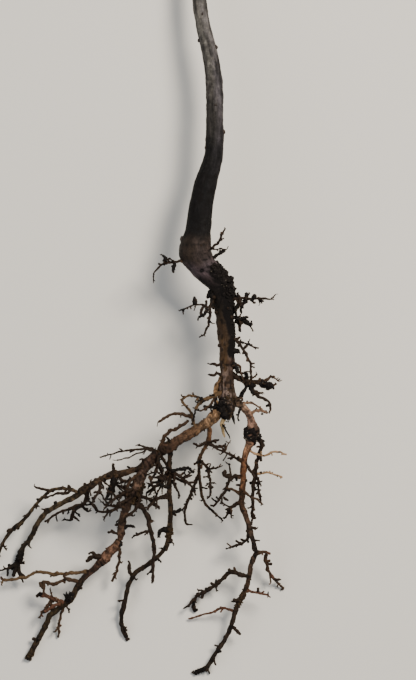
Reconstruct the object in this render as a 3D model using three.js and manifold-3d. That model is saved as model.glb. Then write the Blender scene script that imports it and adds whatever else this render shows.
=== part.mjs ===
// A bare-rooted sapling that lies on its side: a bent stem with a few bare side twigs, the swollen
// crook at its collar, a short taproot, and the woody roots and rootlets that leave it.
// Millimetres. +Y runs from the roots to the stem's tip, +X to the right as seen from above, and
// +Z up from the surface that the sapling lies on.
import * as THREE from "three";
import { mergeVertices } from "three/addons/utils/BufferGeometryUtils.js";
import Module from "manifold-3d";

const wasm = await Module();
wasm.setup();

// Where the plan's zero, halfway down the taproot, lies from the middle of the sapling's box.
const PLAN_X = 41.1;
const PLAN_Y = -116.2;

const CLEARANCE = 0.32; // air between two solids that grow from one another
const ROOTLET_CLEARANCE = 0.6; // a rootlet that would come nearer than this to another is left out
const GROUND_GAP = 0.2; // what nothing that grows by the rule comes nearer to the ground than
const SIMPLER = 0.06; // how far a solid's faces may move when it is made simpler

// How each kind is drawn: the step between its rings, and its number of sides.
const TUBES = {
  stem: { step: 14, sides: 10 },
  taproot: { step: 4, sides: 12 },
  limb: { step: 7, sides: 6 },
  mass: { step: 6.5, sides: 4 },
  rootlet: { sides: 3 },
};
const LUMP_DEPTH = 0.79; // how near an icosahedron's faces lie to its middle, as a share of its radius

// The stem and the taproot are one length of wood, parted at the soil line.
// Each station is x, y, height and radius.
const STEM = [
  [-3.5, 90, 30, 4.8], [-2.8, 100, 29.5, 4.5], [-2.7, 114, 28.4, 4.4], [-2.8, 127, 27.2, 4.3],
  [-4.2, 138.7, 26, 4.1], [-5.9, 147, 24.9, 3.85], [-8.3, 157, 23.8, 3.7], [-10, 168, 22.7, 3.6],
  [-12.4, 195, 20, 3.3], [-13.5, 222, 17, 3], [-11, 252, 13.5, 2.7], [-9, 284, 9.8, 2.35],
  [-11.5, 318, 6, 2], [-14, 350, 3.2, 1.6], [-12.5, 380, 1.7, 1.2], [-12, 400, 1.3, 0.6],
];
const TAPROOT = [
  [-3.5, 90, 30, 4.8], [-6.6, 80, 30.8, 5.3], [-9.2, 69, 31.6, 5.85], [-10.4, 60, 32.3, 6.2],
  [-11, 54.5, 32.7, 6.4], [-11.5, 50.4, 33, 7.2], [-12.2, 46.4, 33.2, 8.2],
  [-12.3, 43.6, 33.3, 8.5], [-10.2, 39.4, 33.4, 7.6], [-6.4, 34.4, 33.3, 6.3],
  [0.6, 27.5, 33.2, 5.8], [1.8, 21, 33, 5.2], [2.1, 15.5, 33, 4.7], [2.6, 10.5, 33, 4.3],
  [2.9, 5, 33, 4.45], [3.4, -3, 33, 4.1], [3.5, -9, 33, 3.8], [3.5, -16, 33, 3.3],
  [3.4, -21.5, 33, 3.5], [3.6, -27, 33, 4.1], [3.6, -31, 33, 4.4], [3.2, -35.4, 33, 3.8],
  [3.3, -39.6, 33, 1.8],
];

// Each limb and mass leaves the limb that it grows `on` where its plan run starts, climbs or falls
// evenly to its tip's height, and thins from the first radius of its girth to the last. Its arms
// fork from it in the same way. Rootlets are dealt out along it by the seeded rule: how many, and
// about how far they reach. A knot is a lump at a share of the length, with its radius.
const LIMBS = {
  left_root: { on: "taproot", height: 30, girth: [2.3, 2.2], rootlets: 4, knots: [[0.9, 3.3]],
    run: [[3.4, -33.5], [-1.5, -36.8], [-5, -40.4], [-10, -43.9], [-20, -49.7], [-31, -56]] },
  left_lower_root: { on: "left_root", height: 19, girth: [2.6, 1.6], rootlets: 6,
    knots: [[0.4, 2.9]],
    run: [[-31, -56], [-38.5, -65], [-42, -75], [-47.5, -85], [-49.5, -95], [-50.4, -101]] },
  left_lower_root_end: { on: "left_lower_root", height: 1.9, girth: [2.1, 1.3], rootlets: 7,
    knots: [[0.12, 2.7], [0.42, 2.2], [1, 1.8]],
    run: [[-50.2, -100], [-57, -109], [-61.4, -113.4], [-70.6, -122.7], [-75.7, -131.4],
      [-85, -138.2], [-89, -146.8], [-97.8, -162.2]] },
  left_outer_root: { on: "left_lower_root", height: 22.5, girth: [1.6, 1.7], rootlets: 5,
    knots: [[0.45, 2.6]],
    run: [[-37, -63.6], [-44, -65.6], [-52.5, -67], [-57.5, -68.8], [-63, -72], [-71, -76.6]] },
  left_outer_root_upper: { on: "left_outer_root", height: 3, girth: [0.9, 0.8], rootlets: 5,
    knots: [[0.62, 1.5]],
    run: [[-70, -76], [-76, -74.8], [-84.4, -75.4], [-91.6, -82], [-98.3, -90.3], [-106.5, -97.7],
      [-115, -115]] },
  left_outer_root_lower: { on: "left_outer_root", height: 2.2, girth: [1.4, 1.2], rootlets: 5,
    knots: [[0.96, 1.9]],
    run: [[-66, -74], [-74, -79.4], [-87.6, -86.8], [-93.3, -94.9], [-94.9, -99], [-99.6, -105.2],
      [-102.6, -113]],
    arms: [[[-102.6, -113], [-107, -115.4]], [[-102.6, -113], [-104.4, -119.2]],
      [[-102.6, -113], [-100.6, -119.2]]] },
  right_root: { on: "taproot", height: 19, girth: [2, 1.2], rootlets: 9, knots: [[0.27, 3.2]],
    run: [[4, -26], [10.4, -32.4], [15.4, -39.4], [16.8, -44.6], [12.5, -59], [11.4, -74],
      [10.8, -81], [14.4, -93], [18.5, -107]] },
  right_root_end: { on: "right_root", height: 1.4, girth: [1.2, 1.1], rootlets: 7,
    knots: [[0.34, 1.6], [0.94, 1.4]],
    run: [[18.5, -107], [16.1, -111.8], [13.2, -125], [8.6, -135], [4.6, -147], [-1, -157],
      [-6.5, -165.8], [-12.8, -169]] },
  side_root: { on: "taproot", height: 34, girth: [1, 1.2], rootlets: 2, knots: [],
    run: [[3, -16], [-0.9, -20.8], [-2, -24], [-2.2, -28], [-1.9, -33], [-1, -38]] },
  middle_root: { on: "left_root", height: 16, girth: [1.1, 0.6], rootlets: 6, knots: [],
    run: [[-4, -39.5], [-5, -48], [-10.4, -60], [-9.8, -72], [-7.6, -82], [0.6, -90]] },
  inner_root: { on: "left_root", height: 1.4, girth: [1.25, 1.1], rootlets: 9, knots: [[0.4, 1.8]],
    run: [[-25, -52], [-25.4, -70], [-25, -88], [-25.6, -97], [-27.4, -105], [-35.4, -112.6],
      [-44, -119.2], [-47.6, -129.6], [-49.8, -142], [-47.2, -151.2]] },
};

// Each mass is one fine root with the rootlets that it bears, or one bare twig with its buds.
const MASSES = {
  crook_left: { on: "taproot", height: 38, girth: [0.8, 0.4], rootlets: 4, reach: 4,
    run: [[-12, 40.6], [-22, 39.2], [-30, 37], [-33, 33.6]] },
  crook_right: { on: "taproot", height: 40, girth: [0.8, 0.4], rootlets: 3, reach: 3,
    run: [[-10, 44], [-2, 47.6], [2.6, 55.4]], arms: [[[-4, 46.6], [3.2, 45]]] },
  taproot_right_upper: { on: "taproot", height: 38, girth: [0.8, 0.4], rootlets: 7, reach: 3.2,
    run: [[2, 22], [11.4, 21], [18, 20.6], [25, 20.2]], arms: [[[12.4, 20.9], [8.8, 15.4]]] },
  taproot_right_tuft: { on: "taproot", height: 30, girth: [0.8, 0.5], rootlets: 7, reach: 3.6,
    run: [[2, 11], [9, 10.8], [14.6, 7.6]], arms: [[[8.6, 10.8], [9.6, 4.6]]] },
  taproot_left: { on: "taproot", height: 40, girth: [0.8, 0.5], rootlets: 5, reach: 3,
    run: [[0, 26], [-4.7, 17], [-5.6, 8.6], [-7.6, 3]], arms: [[[-4.8, 15.4], [-12, 17.8], [-18.4, 15]]] },
  taproot_right_lower: { on: "taproot", height: 42, girth: [0.8, 0.5], rootlets: 5, reach: 2.6,
    run: [[3, 3], [9.8, -2.6], [15.2, -12], [15.4, -18]], arms: [[[9, -2], [19.4, -4]]] },
  crown_right_cluster: { on: "taproot", height: 37, girth: [1.1, 0.8], rootlets: 7, reach: 3.6,
    run: [[3.6, -17], [11.4, -20], [18, -21.2], [26, -23]],
    arms: [[[14, -20.4], [17.6, -27], [24, -31], [25.2, -35]], [[12, -20.2], [10.6, -28.6]],
      [[20, -21.6], [25.4, -18]]] },
  crown_right_twig: { on: "right_root", height: 27, girth: [0.6, 0.4], rootlets: 3, reach: 2.2,
    run: [[9, -31], [16, -31.6], [21, -35]] },
  crown_left_tangle: { on: "taproot", height: 41, girth: [1, 0.6], rootlets: 7, reach: 3.8,
    run: [[3.6, -25], [-3.6, -28.4], [-10.6, -31.4], [-12.4, -34.6]],
    arms: [[[-4, -28.6], [-6.4, -34], [-10, -35.4]], [[-7.4, -29.8], [-13, -28]]] },
  crown_pale: { on: "taproot", height: 35, girth: [1.2, 0.7], rootlets: 2, reach: 3,
    run: [[3, -37], [0.8, -43], [2.4, -48.6]], arms: [[[0.9, -42], [5, -49.4]]] },
  crown_under: { on: "taproot", height: 6, girth: [1, 0.5], rootlets: 6, reach: 3.4,
    run: [[3.6, -33], [-1.5, -37], [-8, -42.6], [-15, -46.8], [-21, -50.4]] },
  left_wiry: { on: "left_root", height: 42, girth: [0.65, 0.4], rootlets: 4, reach: 2.6,
    run: [[-11, -44], [-14, -36.6], [-19, -30.6], [-17, -28], [-11.6, -27.8]],
    arms: [[[-14, -36.6], [-22, -36.4], [-31, -41]]] },
  left_loop: { on: "left_root", height: 36, girth: [0.65, 0.5], rootlets: 2, reach: 2.2,
    run: [[-28.4, -53.6], [-27, -47], [-21, -44], [-15.6, -40]] },
  knuckle_left: { on: "left_root", height: 36, girth: [0.7, 0.35], rootlets: 4, reach: 2.4,
    run: [[-29, -54.8], [-38, -54.4], [-48, -55.4], [-60, -58.6]],
    arms: [[[-37, -54.4], [-44, -58], [-51.6, -60]]] },
  outer_tuft_near: { on: "left_outer_root", height: 12, girth: [0.9, 0.5], rootlets: 7, reach: 4.6,
    run: [[-51, -66.4], [-52.6, -73], [-57.6, -80.6]], arms: [[[-52.6, -73], [-48.4, -76.6]]] },
  outer_tuft_far: { on: "left_outer_root", height: 31, girth: [0.8, 0.5], rootlets: 6, reach: 4.4,
    run: [[-60, -70.6], [-60.6, -76], [-63.6, -80.4]] },
  outer_under: { on: "left_outer_root", height: 12, girth: [1, 0.7], rootlets: 5, reach: 3.4,
    run: [[-67, -75], [-68, -81], [-74, -86.8], [-75, -91]],
    arms: [[[-70, -83.4], [-80, -86.6], [-88.4, -91.6]], [[-68, -81], [-66.4, -86.4]]] },
  lower_upper_tuft: { on: "left_lower_root", height: 36, girth: [0.9, 0.5], rootlets: 7, reach: 4.6,
    run: [[-41, -75], [-48.6, -76.6], [-56, -81.4]], arms: [[[-46, -75.8], [-47.6, -71.6]]] },
  lower_middle_tuft: { on: "left_lower_root", height: 27, girth: [0.9, 0.4], rootlets: 7, reach: 3.8,
    run: [[-46, -82.4], [-52, -84.6], [-59, -86.4], [-66, -80.4]], arms: [[[-50, -84], [-58.4, -82]]] },
  lower_hanging: { on: "left_lower_root", height: 8, girth: [0.8, 0.5], rootlets: 3, reach: 2.4,
    run: [[-51.6, -102.4], [-50.9, -112.4], [-54.6, -122.2]] },
  long_pale: { on: "left_lower_root_end", height: 8, girth: [0.85, 0.6], rootlets: 4, reach: 2.4,
    run: [[-66.6, -118.8], [-82, -118], [-93.4, -117.2], [-97, -119.4], [-109.6, -121.2]] },
  curled: { on: "left_lower_root_end", height: 15, girth: [0.9, 0.6], rootlets: 4, reach: 2.6,
    run: [[-70.6, -122.2], [-76.6, -120.6], [-84.6, -122.8], [-88.2, -121.6], [-88.8, -127.4]] },
  tip_red: { on: "left_lower_root_end", height: 10, girth: [1.2, 1], rootlets: 4, reach: 3,
    run: [[-78, -133], [-86.9, -129.4], [-91, -128]], arms: [[[-85, -130.2], [-90.4, -139]]] },
  tip_hanging: { on: "left_lower_root_end", height: 1.4, girth: [0.9, 0.7], rootlets: 3, reach: 2.4,
    run: [[-77, -132.8], [-80.6, -139.4], [-82, -151]] },
  tangle_near: { on: "left_root", height: 37, girth: [0.9, 0.5], rootlets: 7, reach: 4.6,
    run: [[-28, -54.6], [-31, -63], [-34.4, -70]], arms: [[[-30.6, -62], [-27.4, -69.6]]] },
  tangle_upper: { on: "inner_root", height: 18, girth: [0.9, 0.5], rootlets: 7, reach: 4.8,
    run: [[-25.2, -68.4], [-31, -72.6], [-37, -77]], arms: [[[-30, -72], [-31.6, -78]]] },
  tangle_lower: { on: "inner_root", height: 30, girth: [0.9, 0.5], rootlets: 6, reach: 4.4,
    run: [[-25, -77.6], [-31, -79.2], [-36, -84]] },
  tangle_under: { on: "left_lower_root", height: 4, girth: [1, 0.5], rootlets: 7, reach: 4.4,
    run: [[-36, -63], [-40.4, -71], [-43.2, -79], [-47.6, -87], [-49.6, -94]] },
  bridge: { on: "inner_root", height: 30, girth: [0.9, 0.5], rootlets: 6, reach: 3.4,
    run: [[-25.2, -67], [-19, -69], [-13, -74.4]], arms: [[[-20, -68.6], [-14, -65.6]]] },
  middle_lower: { on: "middle_root", height: 10, girth: [0.8, 0.5], rootlets: 4, reach: 3,
    run: [[-10.6, -66], [-13, -74], [-17.6, -85], [-17, -93]] },
  middle_right: { on: "middle_root", height: 33, girth: [0.7, 0.5], rootlets: 5, reach: 2.8,
    run: [[-8.8, -57.6], [-6, -65], [-5, -78]], arms: [[[-6.4, -63], [-0.6, -63.6]]] },
  crossing: { on: "right_root", height: 33, girth: [0.7, 0.4], rootlets: 6, reach: 2.8,
    run: [[12.6, -58.6], [4, -56.8], [-3, -53.6]], arms: [[[2, -56], [4.4, -51.4]]] },
  right_left_fork: { on: "right_root", height: 22, girth: [0.9, 0.5], rootlets: 5, reach: 2.6,
    run: [[11.8, -68], [5.8, -69], [2.6, -76], [-3, -83.4]], arms: [[[6.2, -69], [4.6, -62.4]]] },
  right_lower_fork: { on: "right_root", height: 20, girth: [0.9, 0.5], rootlets: 5, reach: 2.8,
    run: [[11.4, -83], [5.6, -84], [2.6, -89.6]], arms: [[[5.6, -84], [0.8, -81.4]]] },
  right_second: { on: "right_root", height: 15, girth: [1, 0.7], rootlets: 6, reach: 3,
    run: [[16, -48.6], [21, -51], [18.4, -62], [16.6, -74], [16.4, -90]], arms: [[[17.4, -67], [20.6, -81]]] },
  right_pale: { on: "right_root", height: 33, girth: [0.6, 0.4], rootlets: 1, reach: 2,
    run: [[12.6, -58], [22.6, -57.8], [27, -55.6], [33.4, -57.2]] },
  right_low_twig: { on: "right_root", height: 14, girth: [0.8, 0.5], rootlets: 3, reach: 2.2,
    run: [[15.6, -97], [12.6, -101.4], [6, -104.4]] },
  right_elbow: { on: "right_root", height: 0.8, girth: [0.9, 0.5], rootlets: 4, reach: 3,
    run: [[18, -104.6], [23.2, -106.6], [23.2, -111], [24.4, -116], [32.2, -126.2]] },
  right_long: { on: "right_root_end", height: 1.1, girth: [0.9, 0.8], rootlets: 4, reach: 2.4,
    run: [[14.8, -116.4], [5.2, -117.4], [-3.5, -125.2], [-12.6, -130.6], [-13.1, -137.4]],
    arms: [[[-12, -130], [-16.6, -134.8]]] },
  right_short: { on: "right_root_end", height: 14, girth: [0.7, 0.5], rootlets: 3, reach: 2,
    run: [[12.8, -127], [18, -127.2], [24, -128.4]] },
  right_red: { on: "right_root_end", height: 2, girth: [0.6, 0.4], rootlets: 1, reach: 2,
    run: [[8.4, -135.6], [1.1, -135.6], [-4, -137.8], [-16.1, -141.4]] },
  hanging_left: { on: "left_lower_root", height: 19, girth: [1.2, 0.6], rootlets: 5, reach: 3,
    run: [[-42.6, -78.4], [-37.4, -86], [-35, -96], [-33.2, -103], [-33.8, -121.8]],
    arms: [[[-35.2, -93], [-43.4, -98.4]]] },
  twig_low_left: { on: "stem", height: 32, girth: [1.3, 0.6], rootlets: 6, reach: 2.2,
    run: [[-13.4, 212], [-21, 228], [-28, 248], [-31, 270]] },
  twig_right: { on: "stem", height: 22, girth: [1.3, 0.6], rootlets: 6, reach: 2.2,
    run: [[-11, 252], [-1, 270], [6, 288], [9, 308]] },
  twig_high_left: { on: "stem", height: 5, girth: [1.1, 0.5], rootlets: 5, reach: 2,
    run: [[-9.4, 292], [-18, 306], [-25, 322], [-27, 342]] },
};

const COLOURS = {
  wood: "#7d7468",
  soiled: "#2c2622",
  root: "#5a3626",
  rootlet: "#33261c",
  pale: "#94643f",
};

// An arm's thickness at its tip, its share of its root's rootlets, and how far down its root's fall
// it ends.
const ARMS = { thinning: 0.7, rootlets: 0.4, fall: 2 / 3 };

// What grows by the rule: how far it reaches, how far it leans forward, and its radius at its foot.
const STUBS = { reach: 2.6, lean: 0.3, foot: 0.5 };
const ROOTLETS = { lean: 0.6, foot: 0.45 };
const BUDS = { reach: 2.2, lean: 1.8, foot: 0.8 };

// The rule's own numbers. Each span is what is always there, and what a draw adds at most.
const RULE = {
  firstSeed: 977,
  nextSeed: 131, // from one node to the next
  place: [0.25, 0.7], // along its own share of the root
  turn: [2.4, 1.2], // round the root from the last, in radians
  length: [0.55, 0.9], // of the reach
  lean: [0.5, 1], // of the kind's own lean
  sway: 0.5, // of the reach, to any side
  droop: 0.2, // more down than up
  foot: 0.8, // at most this share of its root's radius
  tip: 0.3, // of the foot's radius
  middle: 0.6, // the point between foot and tip that has to be clear too
};

// Park and Miller's generator: the same seed deals the same draws.
function dice(seed) {
  let state = seed;
  return () => (state = (state * 16807) % 2147483647) / 2147483647;
}

// Points and radii at about even steps along a smooth curve through the stations.
function pathOf(stations, step) {
  const points = stations.map(([x, y, z]) => new THREE.Vector3(x, y, z));
  const curve = new THREE.CatmullRomCurve3(points, false, "centripetal");
  const count = Math.max(1, Math.round(curve.getLength() / step));
  const legs = stations.length - 1;
  return Array.from({ length: count + 1 }, (_, i) => {
    const t = curve.getUtoTmapping(i / count);
    const leg = Math.min(legs - 1, Math.floor(t * legs));
    const radius = THREE.MathUtils.lerp(stations[leg][3], stations[leg + 1][3], t * legs - leg);
    return { at: curve.getPoint(t), radius };
  });
}

// A path from a point of another one, by a run of plan points whose first is where it leaves.
function branchOf(parent, run, height, girth, step) {
  const [x, y] = run[0];
  const gap = (p) => Math.hypot(p.at.x - x, p.at.y - y);
  const { at } = parent.reduce((best, p) => (gap(p) < gap(best) ? p : best));
  const plan = [[at.x, at.y], ...run.slice(1)];
  const gone = [0];
  for (let i = 1; i < plan.length; i++) {
    gone.push(gone[i - 1] + Math.hypot(plan[i][0] - plan[i - 1][0], plan[i][1] - plan[i - 1][1]));
  }
  return pathOf(plan.map((p, i) => {
    const share = gone[i] / gone.at(-1);
    return [...p, THREE.MathUtils.lerp(at.z, height, share), THREE.MathUtils.lerp(...girth, share)];
  }), step);
}

// A limb's or a mass's own path, and then the path of each arm.
function pathsOf({ run, height, girth, arms = [] }, parent, step) {
  const main = branchOf(parent, run, height, girth, step);
  const fallen = THREE.MathUtils.lerp(main[0].at.z, height, ARMS.fall);
  const armHeight = Math.max(girth[1] + GROUND_GAP, fallen);
  const armGirth = [girth[1], girth[1] * ARMS.thinning];
  return [main, ...arms.map((arm) => branchOf(main, arm, armHeight, armGirth, step))];
}

// Three square directions at each point of a path, carried along it without a twist.
function framesOf(path) {
  let side = new THREE.Vector3(0, 0, 1);
  return path.map((p, i) => {
    const next = path[Math.min(i + 1, path.length - 1)].at;
    const tangent = next.clone().sub(path[Math.max(i - 1, 0)].at).normalize();
    if (i === 0 && Math.abs(tangent.z) > 0.9) side.set(1, 0, 0);
    side = side.clone().addScaledVector(tangent, -side.dot(tangent)).normalize();
    return new THREE.Matrix4().makeBasis(side, tangent, side.clone().cross(tangent)).setPosition(p.at);
  });
}

// A closed tapering tube: a cylinder whose rings are moved onto the path's points. Its faces stand
// `extra` further out, and it is longer by it at both ends.
function tube(path, sides, extra) {
  const steps = path.length - 1;
  const geometry = new THREE.CylinderGeometry(1, 1, steps, sides, steps);
  const frames = framesOf(path);
  const corners = geometry.attributes.position;
  const corner = new THREE.Vector3();
  for (let i = 0; i < corners.count; i++) {
    corner.fromBufferAttribute(corners, i);
    const ring = Math.round(corner.y + steps / 2);
    const end = ring === 0 ? -extra : ring === steps ? extra : 0;
    const reach = path[ring].radius + extra / Math.cos(Math.PI / sides);
    corner.set(corner.x * reach, end, corner.z * reach).applyMatrix4(frames[ring]);
    corners.setXYZ(i, corner.x, corner.y, corner.z);
  }
  return geometry;
}

function lump({ at, radius }, extra) {
  return new THREE.IcosahedronGeometry(radius + extra / LUMP_DEPTH).translate(at.x, at.y, at.z);
}

function solidOf(geometry) {
  geometry.deleteAttribute("normal");
  geometry.deleteAttribute("uv");
  const merged = mergeVertices(geometry, 1e-4);
  return new wasm.Manifold(new wasm.Mesh({
    numProp: 3,
    vertProperties: merged.attributes.position.array,
    triVerts: new Uint32Array(merged.index.array),
  }));
}

// Every stretch of root that is already there, with its node, which rootlets have to keep clear of.
const taken = [];
function take(path, node) {
  for (let i = 1; i < path.length; i++) {
    const radius = Math.max(path[i - 1].radius, path[i].radius);
    taken.push({ line: new THREE.Line3(path[i - 1].at, path[i].at), radius, node });
  }
}
function isClear(point, radius, node) {
  const near = new THREE.Vector3();
  return point.z > radius + GROUND_GAP && taken.every((t) => {
    const gap = t.line.closestPointToPoint(point, true, near).distanceTo(point) - t.radius - radius;
    return t.node === node || gap > ROOTLET_CLEARANCE;
  });
}

// Rootlets, or buds, along a path: each turns on round it from the last, leans forward, and droops
// a little. One that would touch another root or the ground is skipped.
function rootletsAlong(path, node, { count, reach, lean, foot }, draw) {
  const frames = framesOf(path);
  const span = ([least, more]) => least + more * draw();
  const grown = [];
  for (let i = 0; i < count; i++) {
    const station = Math.round(((i + span(RULE.place)) / count) * (path.length - 1));
    const { at, radius } = path[station];
    const turn = i * RULE.turn[0] + RULE.turn[1] * draw();
    const length = radius + reach * span(RULE.length);
    const heading = new THREE.Vector3(Math.cos(turn), lean * span(RULE.lean), Math.sin(turn));
    const sway = new THREE.Vector3(draw() - 0.5, draw() - 0.5 - RULE.droop, draw() - 0.5);
    const tip = at.clone().addScaledVector(heading.transformDirection(frames[station]), length);
    tip.addScaledVector(sway, RULE.sway * reach);
    const middle = at.clone().lerp(tip, RULE.middle);
    const thick = Math.min(radius * RULE.foot, foot);
    if (!isClear(tip, thick, node) || !isClear(middle, thick, node)) continue;
    const rootlet = [{ at, radius: thick }, { at: tip, radius: thick * RULE.tip }];
    take(rootlet, node);
    grown.push(rootlet);
  }
  return grown;
}

// Each node has its paths, its tubes' sides, its lumps, and the rule for what it bears, which may
// start from a share of its length.
const nodes = {
  stem: {
    paths: [pathOf(STEM, TUBES.stem.step)],
    sides: TUBES.stem.sides,
    lumps: [],
    rule: { ...BUDS, count: 14, from: 0.5 },
    colour: COLOURS.wood,
  },
  taproot: {
    paths: [pathOf(TAPROOT, TUBES.taproot.step)],
    sides: TUBES.taproot.sides,
    lumps: [],
    rule: { ...STUBS, count: 0, from: 0 },
    colour: COLOURS.soiled,
  },
};
for (const [name, limb] of Object.entries(LIMBS)) {
  const paths = pathsOf(limb, nodes[limb.on].paths[0], TUBES.limb.step);
  const lumps = limb.knots.map(([share, radius]) => {
    return { at: paths[0][Math.round(share * (paths[0].length - 1))].at, radius };
  });
  const rule = { ...STUBS, count: limb.rootlets, from: 0 };
  nodes[name] = { paths, sides: TUBES.limb.sides, lumps, rule, colour: COLOURS.root };
}
for (const [name, mass] of Object.entries(MASSES)) {
  const paths = pathsOf(mass, nodes[mass.on].paths[0], TUBES.mass.step);
  const isTwig = mass.on === "stem";
  const rule = { ...(isTwig ? BUDS : ROOTLETS), count: mass.rootlets, reach: mass.reach, from: 0 };
  const colour = isTwig ? COLOURS.wood : name.endsWith("pale") ? COLOURS.pale : COLOURS.rootlet;
  nodes[name] = { paths, sides: TUBES.mass.sides, lumps: [], rule, colour };
}

// The whole of every path is taken first, so that no rootlet grows into a root that comes later.
for (const [name, { paths }] of Object.entries(nodes)) {
  for (const path of paths) take(path, name);
}
Object.entries(nodes).forEach(([name, { paths, rule }], index) => {
  const draw = dice(RULE.firstSeed + RULE.nextSeed * index);
  nodes[name].rootlets = paths.flatMap((path, i) => {
    const count = i === 0 ? rule.count : Math.round(rule.count * ARMS.rootlets);
    const bearing = path.slice(Math.round(rule.from * path.length));
    return rootletsAlong(bearing, name, { ...rule, count }, draw);
  });
});

// The node's solid, with its faces `extra` further out: its paths, rootlets and lumps fused.
function fused({ paths, sides, rootlets, lumps }, extra) {
  return wasm.Manifold.union([
    ...paths.map((path) => solidOf(tube(path, sides, extra))),
    ...rootlets.map((rootlet) => solidOf(tube(rootlet, TUBES.rootlet.sides, extra))),
    ...lumps.map((knot) => solidOf(lump(knot, extra))),
  ]);
}

function boxesMeet(a, b) {
  const p = a.boundingBox();
  const q = b.boundingBox();
  return [0, 1, 2].every((k) => p.min[k] <= q.max[k] && q.min[k] <= p.max[k]);
}

// Each node is cut back from all the earlier ones, and what a cut leaves loose is dropped.
const sapling = new THREE.Group();
const earlier = [];
for (const [name, node] of Object.entries(nodes)) {
  const grown = fused(node, CLEARANCE);
  const near = earlier.filter((other) => boxesMeet(grown, other));
  const cut = near.reduce((solid, other) => solid.subtract(other), fused(node, 0));
  const largest = cut.decompose().reduce((best, s) => (s.volume() > best.volume() ? s : best));
  earlier.push(grown);
  const mesh = largest.simplify(SIMPLER).getMesh();
  const geometry = new THREE.BufferGeometry()
    .setAttribute("position", new THREE.BufferAttribute(mesh.vertProperties, 3))
    .setIndex(new THREE.BufferAttribute(mesh.triVerts, 1));
  geometry.computeVertexNormals();
  const material = new THREE.MeshStandardMaterial({ color: node.colour, roughness: 0.9 });
  const piece = new THREE.Mesh(geometry, material);
  piece.name = name;
  sapling.add(piece);
}
sapling.position.set(PLAN_X, PLAN_Y, 0);

export default sapling;
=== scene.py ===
# A bare-rooted sapling that lies on a pale floor: the trunk and the woody roots in bark relief, and
# the fine roots, buds and clinging soil that grow on from them. Routes and sizes are in millimetres.
import itertools
import math

import bmesh
import bpy
import numpy as np
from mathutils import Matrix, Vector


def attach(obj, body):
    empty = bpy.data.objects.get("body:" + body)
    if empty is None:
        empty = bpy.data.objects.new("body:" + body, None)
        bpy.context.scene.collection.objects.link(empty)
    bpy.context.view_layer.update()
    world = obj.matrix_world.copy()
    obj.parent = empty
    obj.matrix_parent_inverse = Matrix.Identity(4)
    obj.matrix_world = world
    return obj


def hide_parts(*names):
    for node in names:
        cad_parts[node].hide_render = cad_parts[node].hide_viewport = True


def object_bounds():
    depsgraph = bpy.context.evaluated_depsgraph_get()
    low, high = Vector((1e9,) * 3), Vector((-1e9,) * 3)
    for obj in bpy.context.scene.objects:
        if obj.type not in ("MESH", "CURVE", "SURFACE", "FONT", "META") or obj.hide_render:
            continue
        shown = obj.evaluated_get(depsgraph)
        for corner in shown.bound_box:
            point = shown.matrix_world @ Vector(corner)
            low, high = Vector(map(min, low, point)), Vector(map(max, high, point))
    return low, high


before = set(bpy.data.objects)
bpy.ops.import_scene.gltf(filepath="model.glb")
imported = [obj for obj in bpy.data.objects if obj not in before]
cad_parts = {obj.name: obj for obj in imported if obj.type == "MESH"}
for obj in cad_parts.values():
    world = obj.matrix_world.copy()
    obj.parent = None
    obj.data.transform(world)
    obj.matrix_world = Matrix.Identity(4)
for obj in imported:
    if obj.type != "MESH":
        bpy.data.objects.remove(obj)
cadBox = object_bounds()
mm = 0.001
print("frame loaded:", len(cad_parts), "nodes")

planShift = np.array([41.1, -116.2, 0])  # from the plan's zero, low on the taproot, to the frame
boxLow, boxHigh = (np.array(corner) / mm - planShift for corner in cadBox)

# Stations of the trunk, which is parted at the soil line: x, y, height and radius.
stemStations = (
    (-3.5, 90, 30, 4.8), (-2.8, 100, 29.5, 4.5), (-2.7, 114, 28.4, 4.4), (-2.8, 127, 27.2, 4.3),
    (-4.2, 138.7, 26, 4.1), (-5.9, 147, 24.9, 3.85), (-8.3, 157, 23.8, 3.7), (-10, 168, 22.7, 3.6),
    (-12.4, 195, 20, 3.3), (-13.5, 222, 17, 3), (-11, 252, 13.5, 2.7), (-9, 284, 9.8, 2.35),
    (-11.5, 318, 6, 2), (-14, 350, 3.2, 1.6), (-12.5, 380, 1.7, 1.2), (-12, 400, 1.3, 0.6),
)
taprootStations = (
    (-3.5, 90, 30, 4.8), (-6.6, 80, 30.8, 5.3), (-9.2, 69, 31.6, 5.85), (-10.4, 60, 32.3, 6.2),
    (-11, 54.5, 32.7, 6.4), (-11.5, 50.4, 33, 7.2), (-12.2, 46.4, 33.2, 8.2), (-12.3, 43.6, 33.3, 8.5),
    (-10.2, 39.4, 33.4, 7.6), (-6.4, 34.4, 33.3, 6.3), (0.6, 27.5, 33.2, 5.8), (1.8, 21, 33, 5.2),
    (2.1, 15.5, 33, 4.7), (2.6, 10.5, 33, 4.3), (2.9, 5, 33, 4.45), (3.4, -3, 33, 4.1),
    (3.5, -9, 33, 3.8), (3.5, -16, 33, 3.3), (3.4, -21.5, 33, 3.5), (3.6, -27, 33, 4.1),
    (3.6, -31, 33, 4.4), (3.2, -35.4, 33, 3.8), (3.3, -39.6, 33, 1.8),
)


# What a root grows on, the height of its tip, its radius at foot and tip, how many rootlets it bears
# and how far they reach, and its run in the plan. Knots are swellings: how far along, and how thick.
def root(on, height, girth, rootlets, reach, run, arms=(), knots=()):
    return dict(on=on, height=height, girth=girth, rootlets=rootlets, reach=reach, run=run, arms=arms,
        knots=knots)


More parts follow.
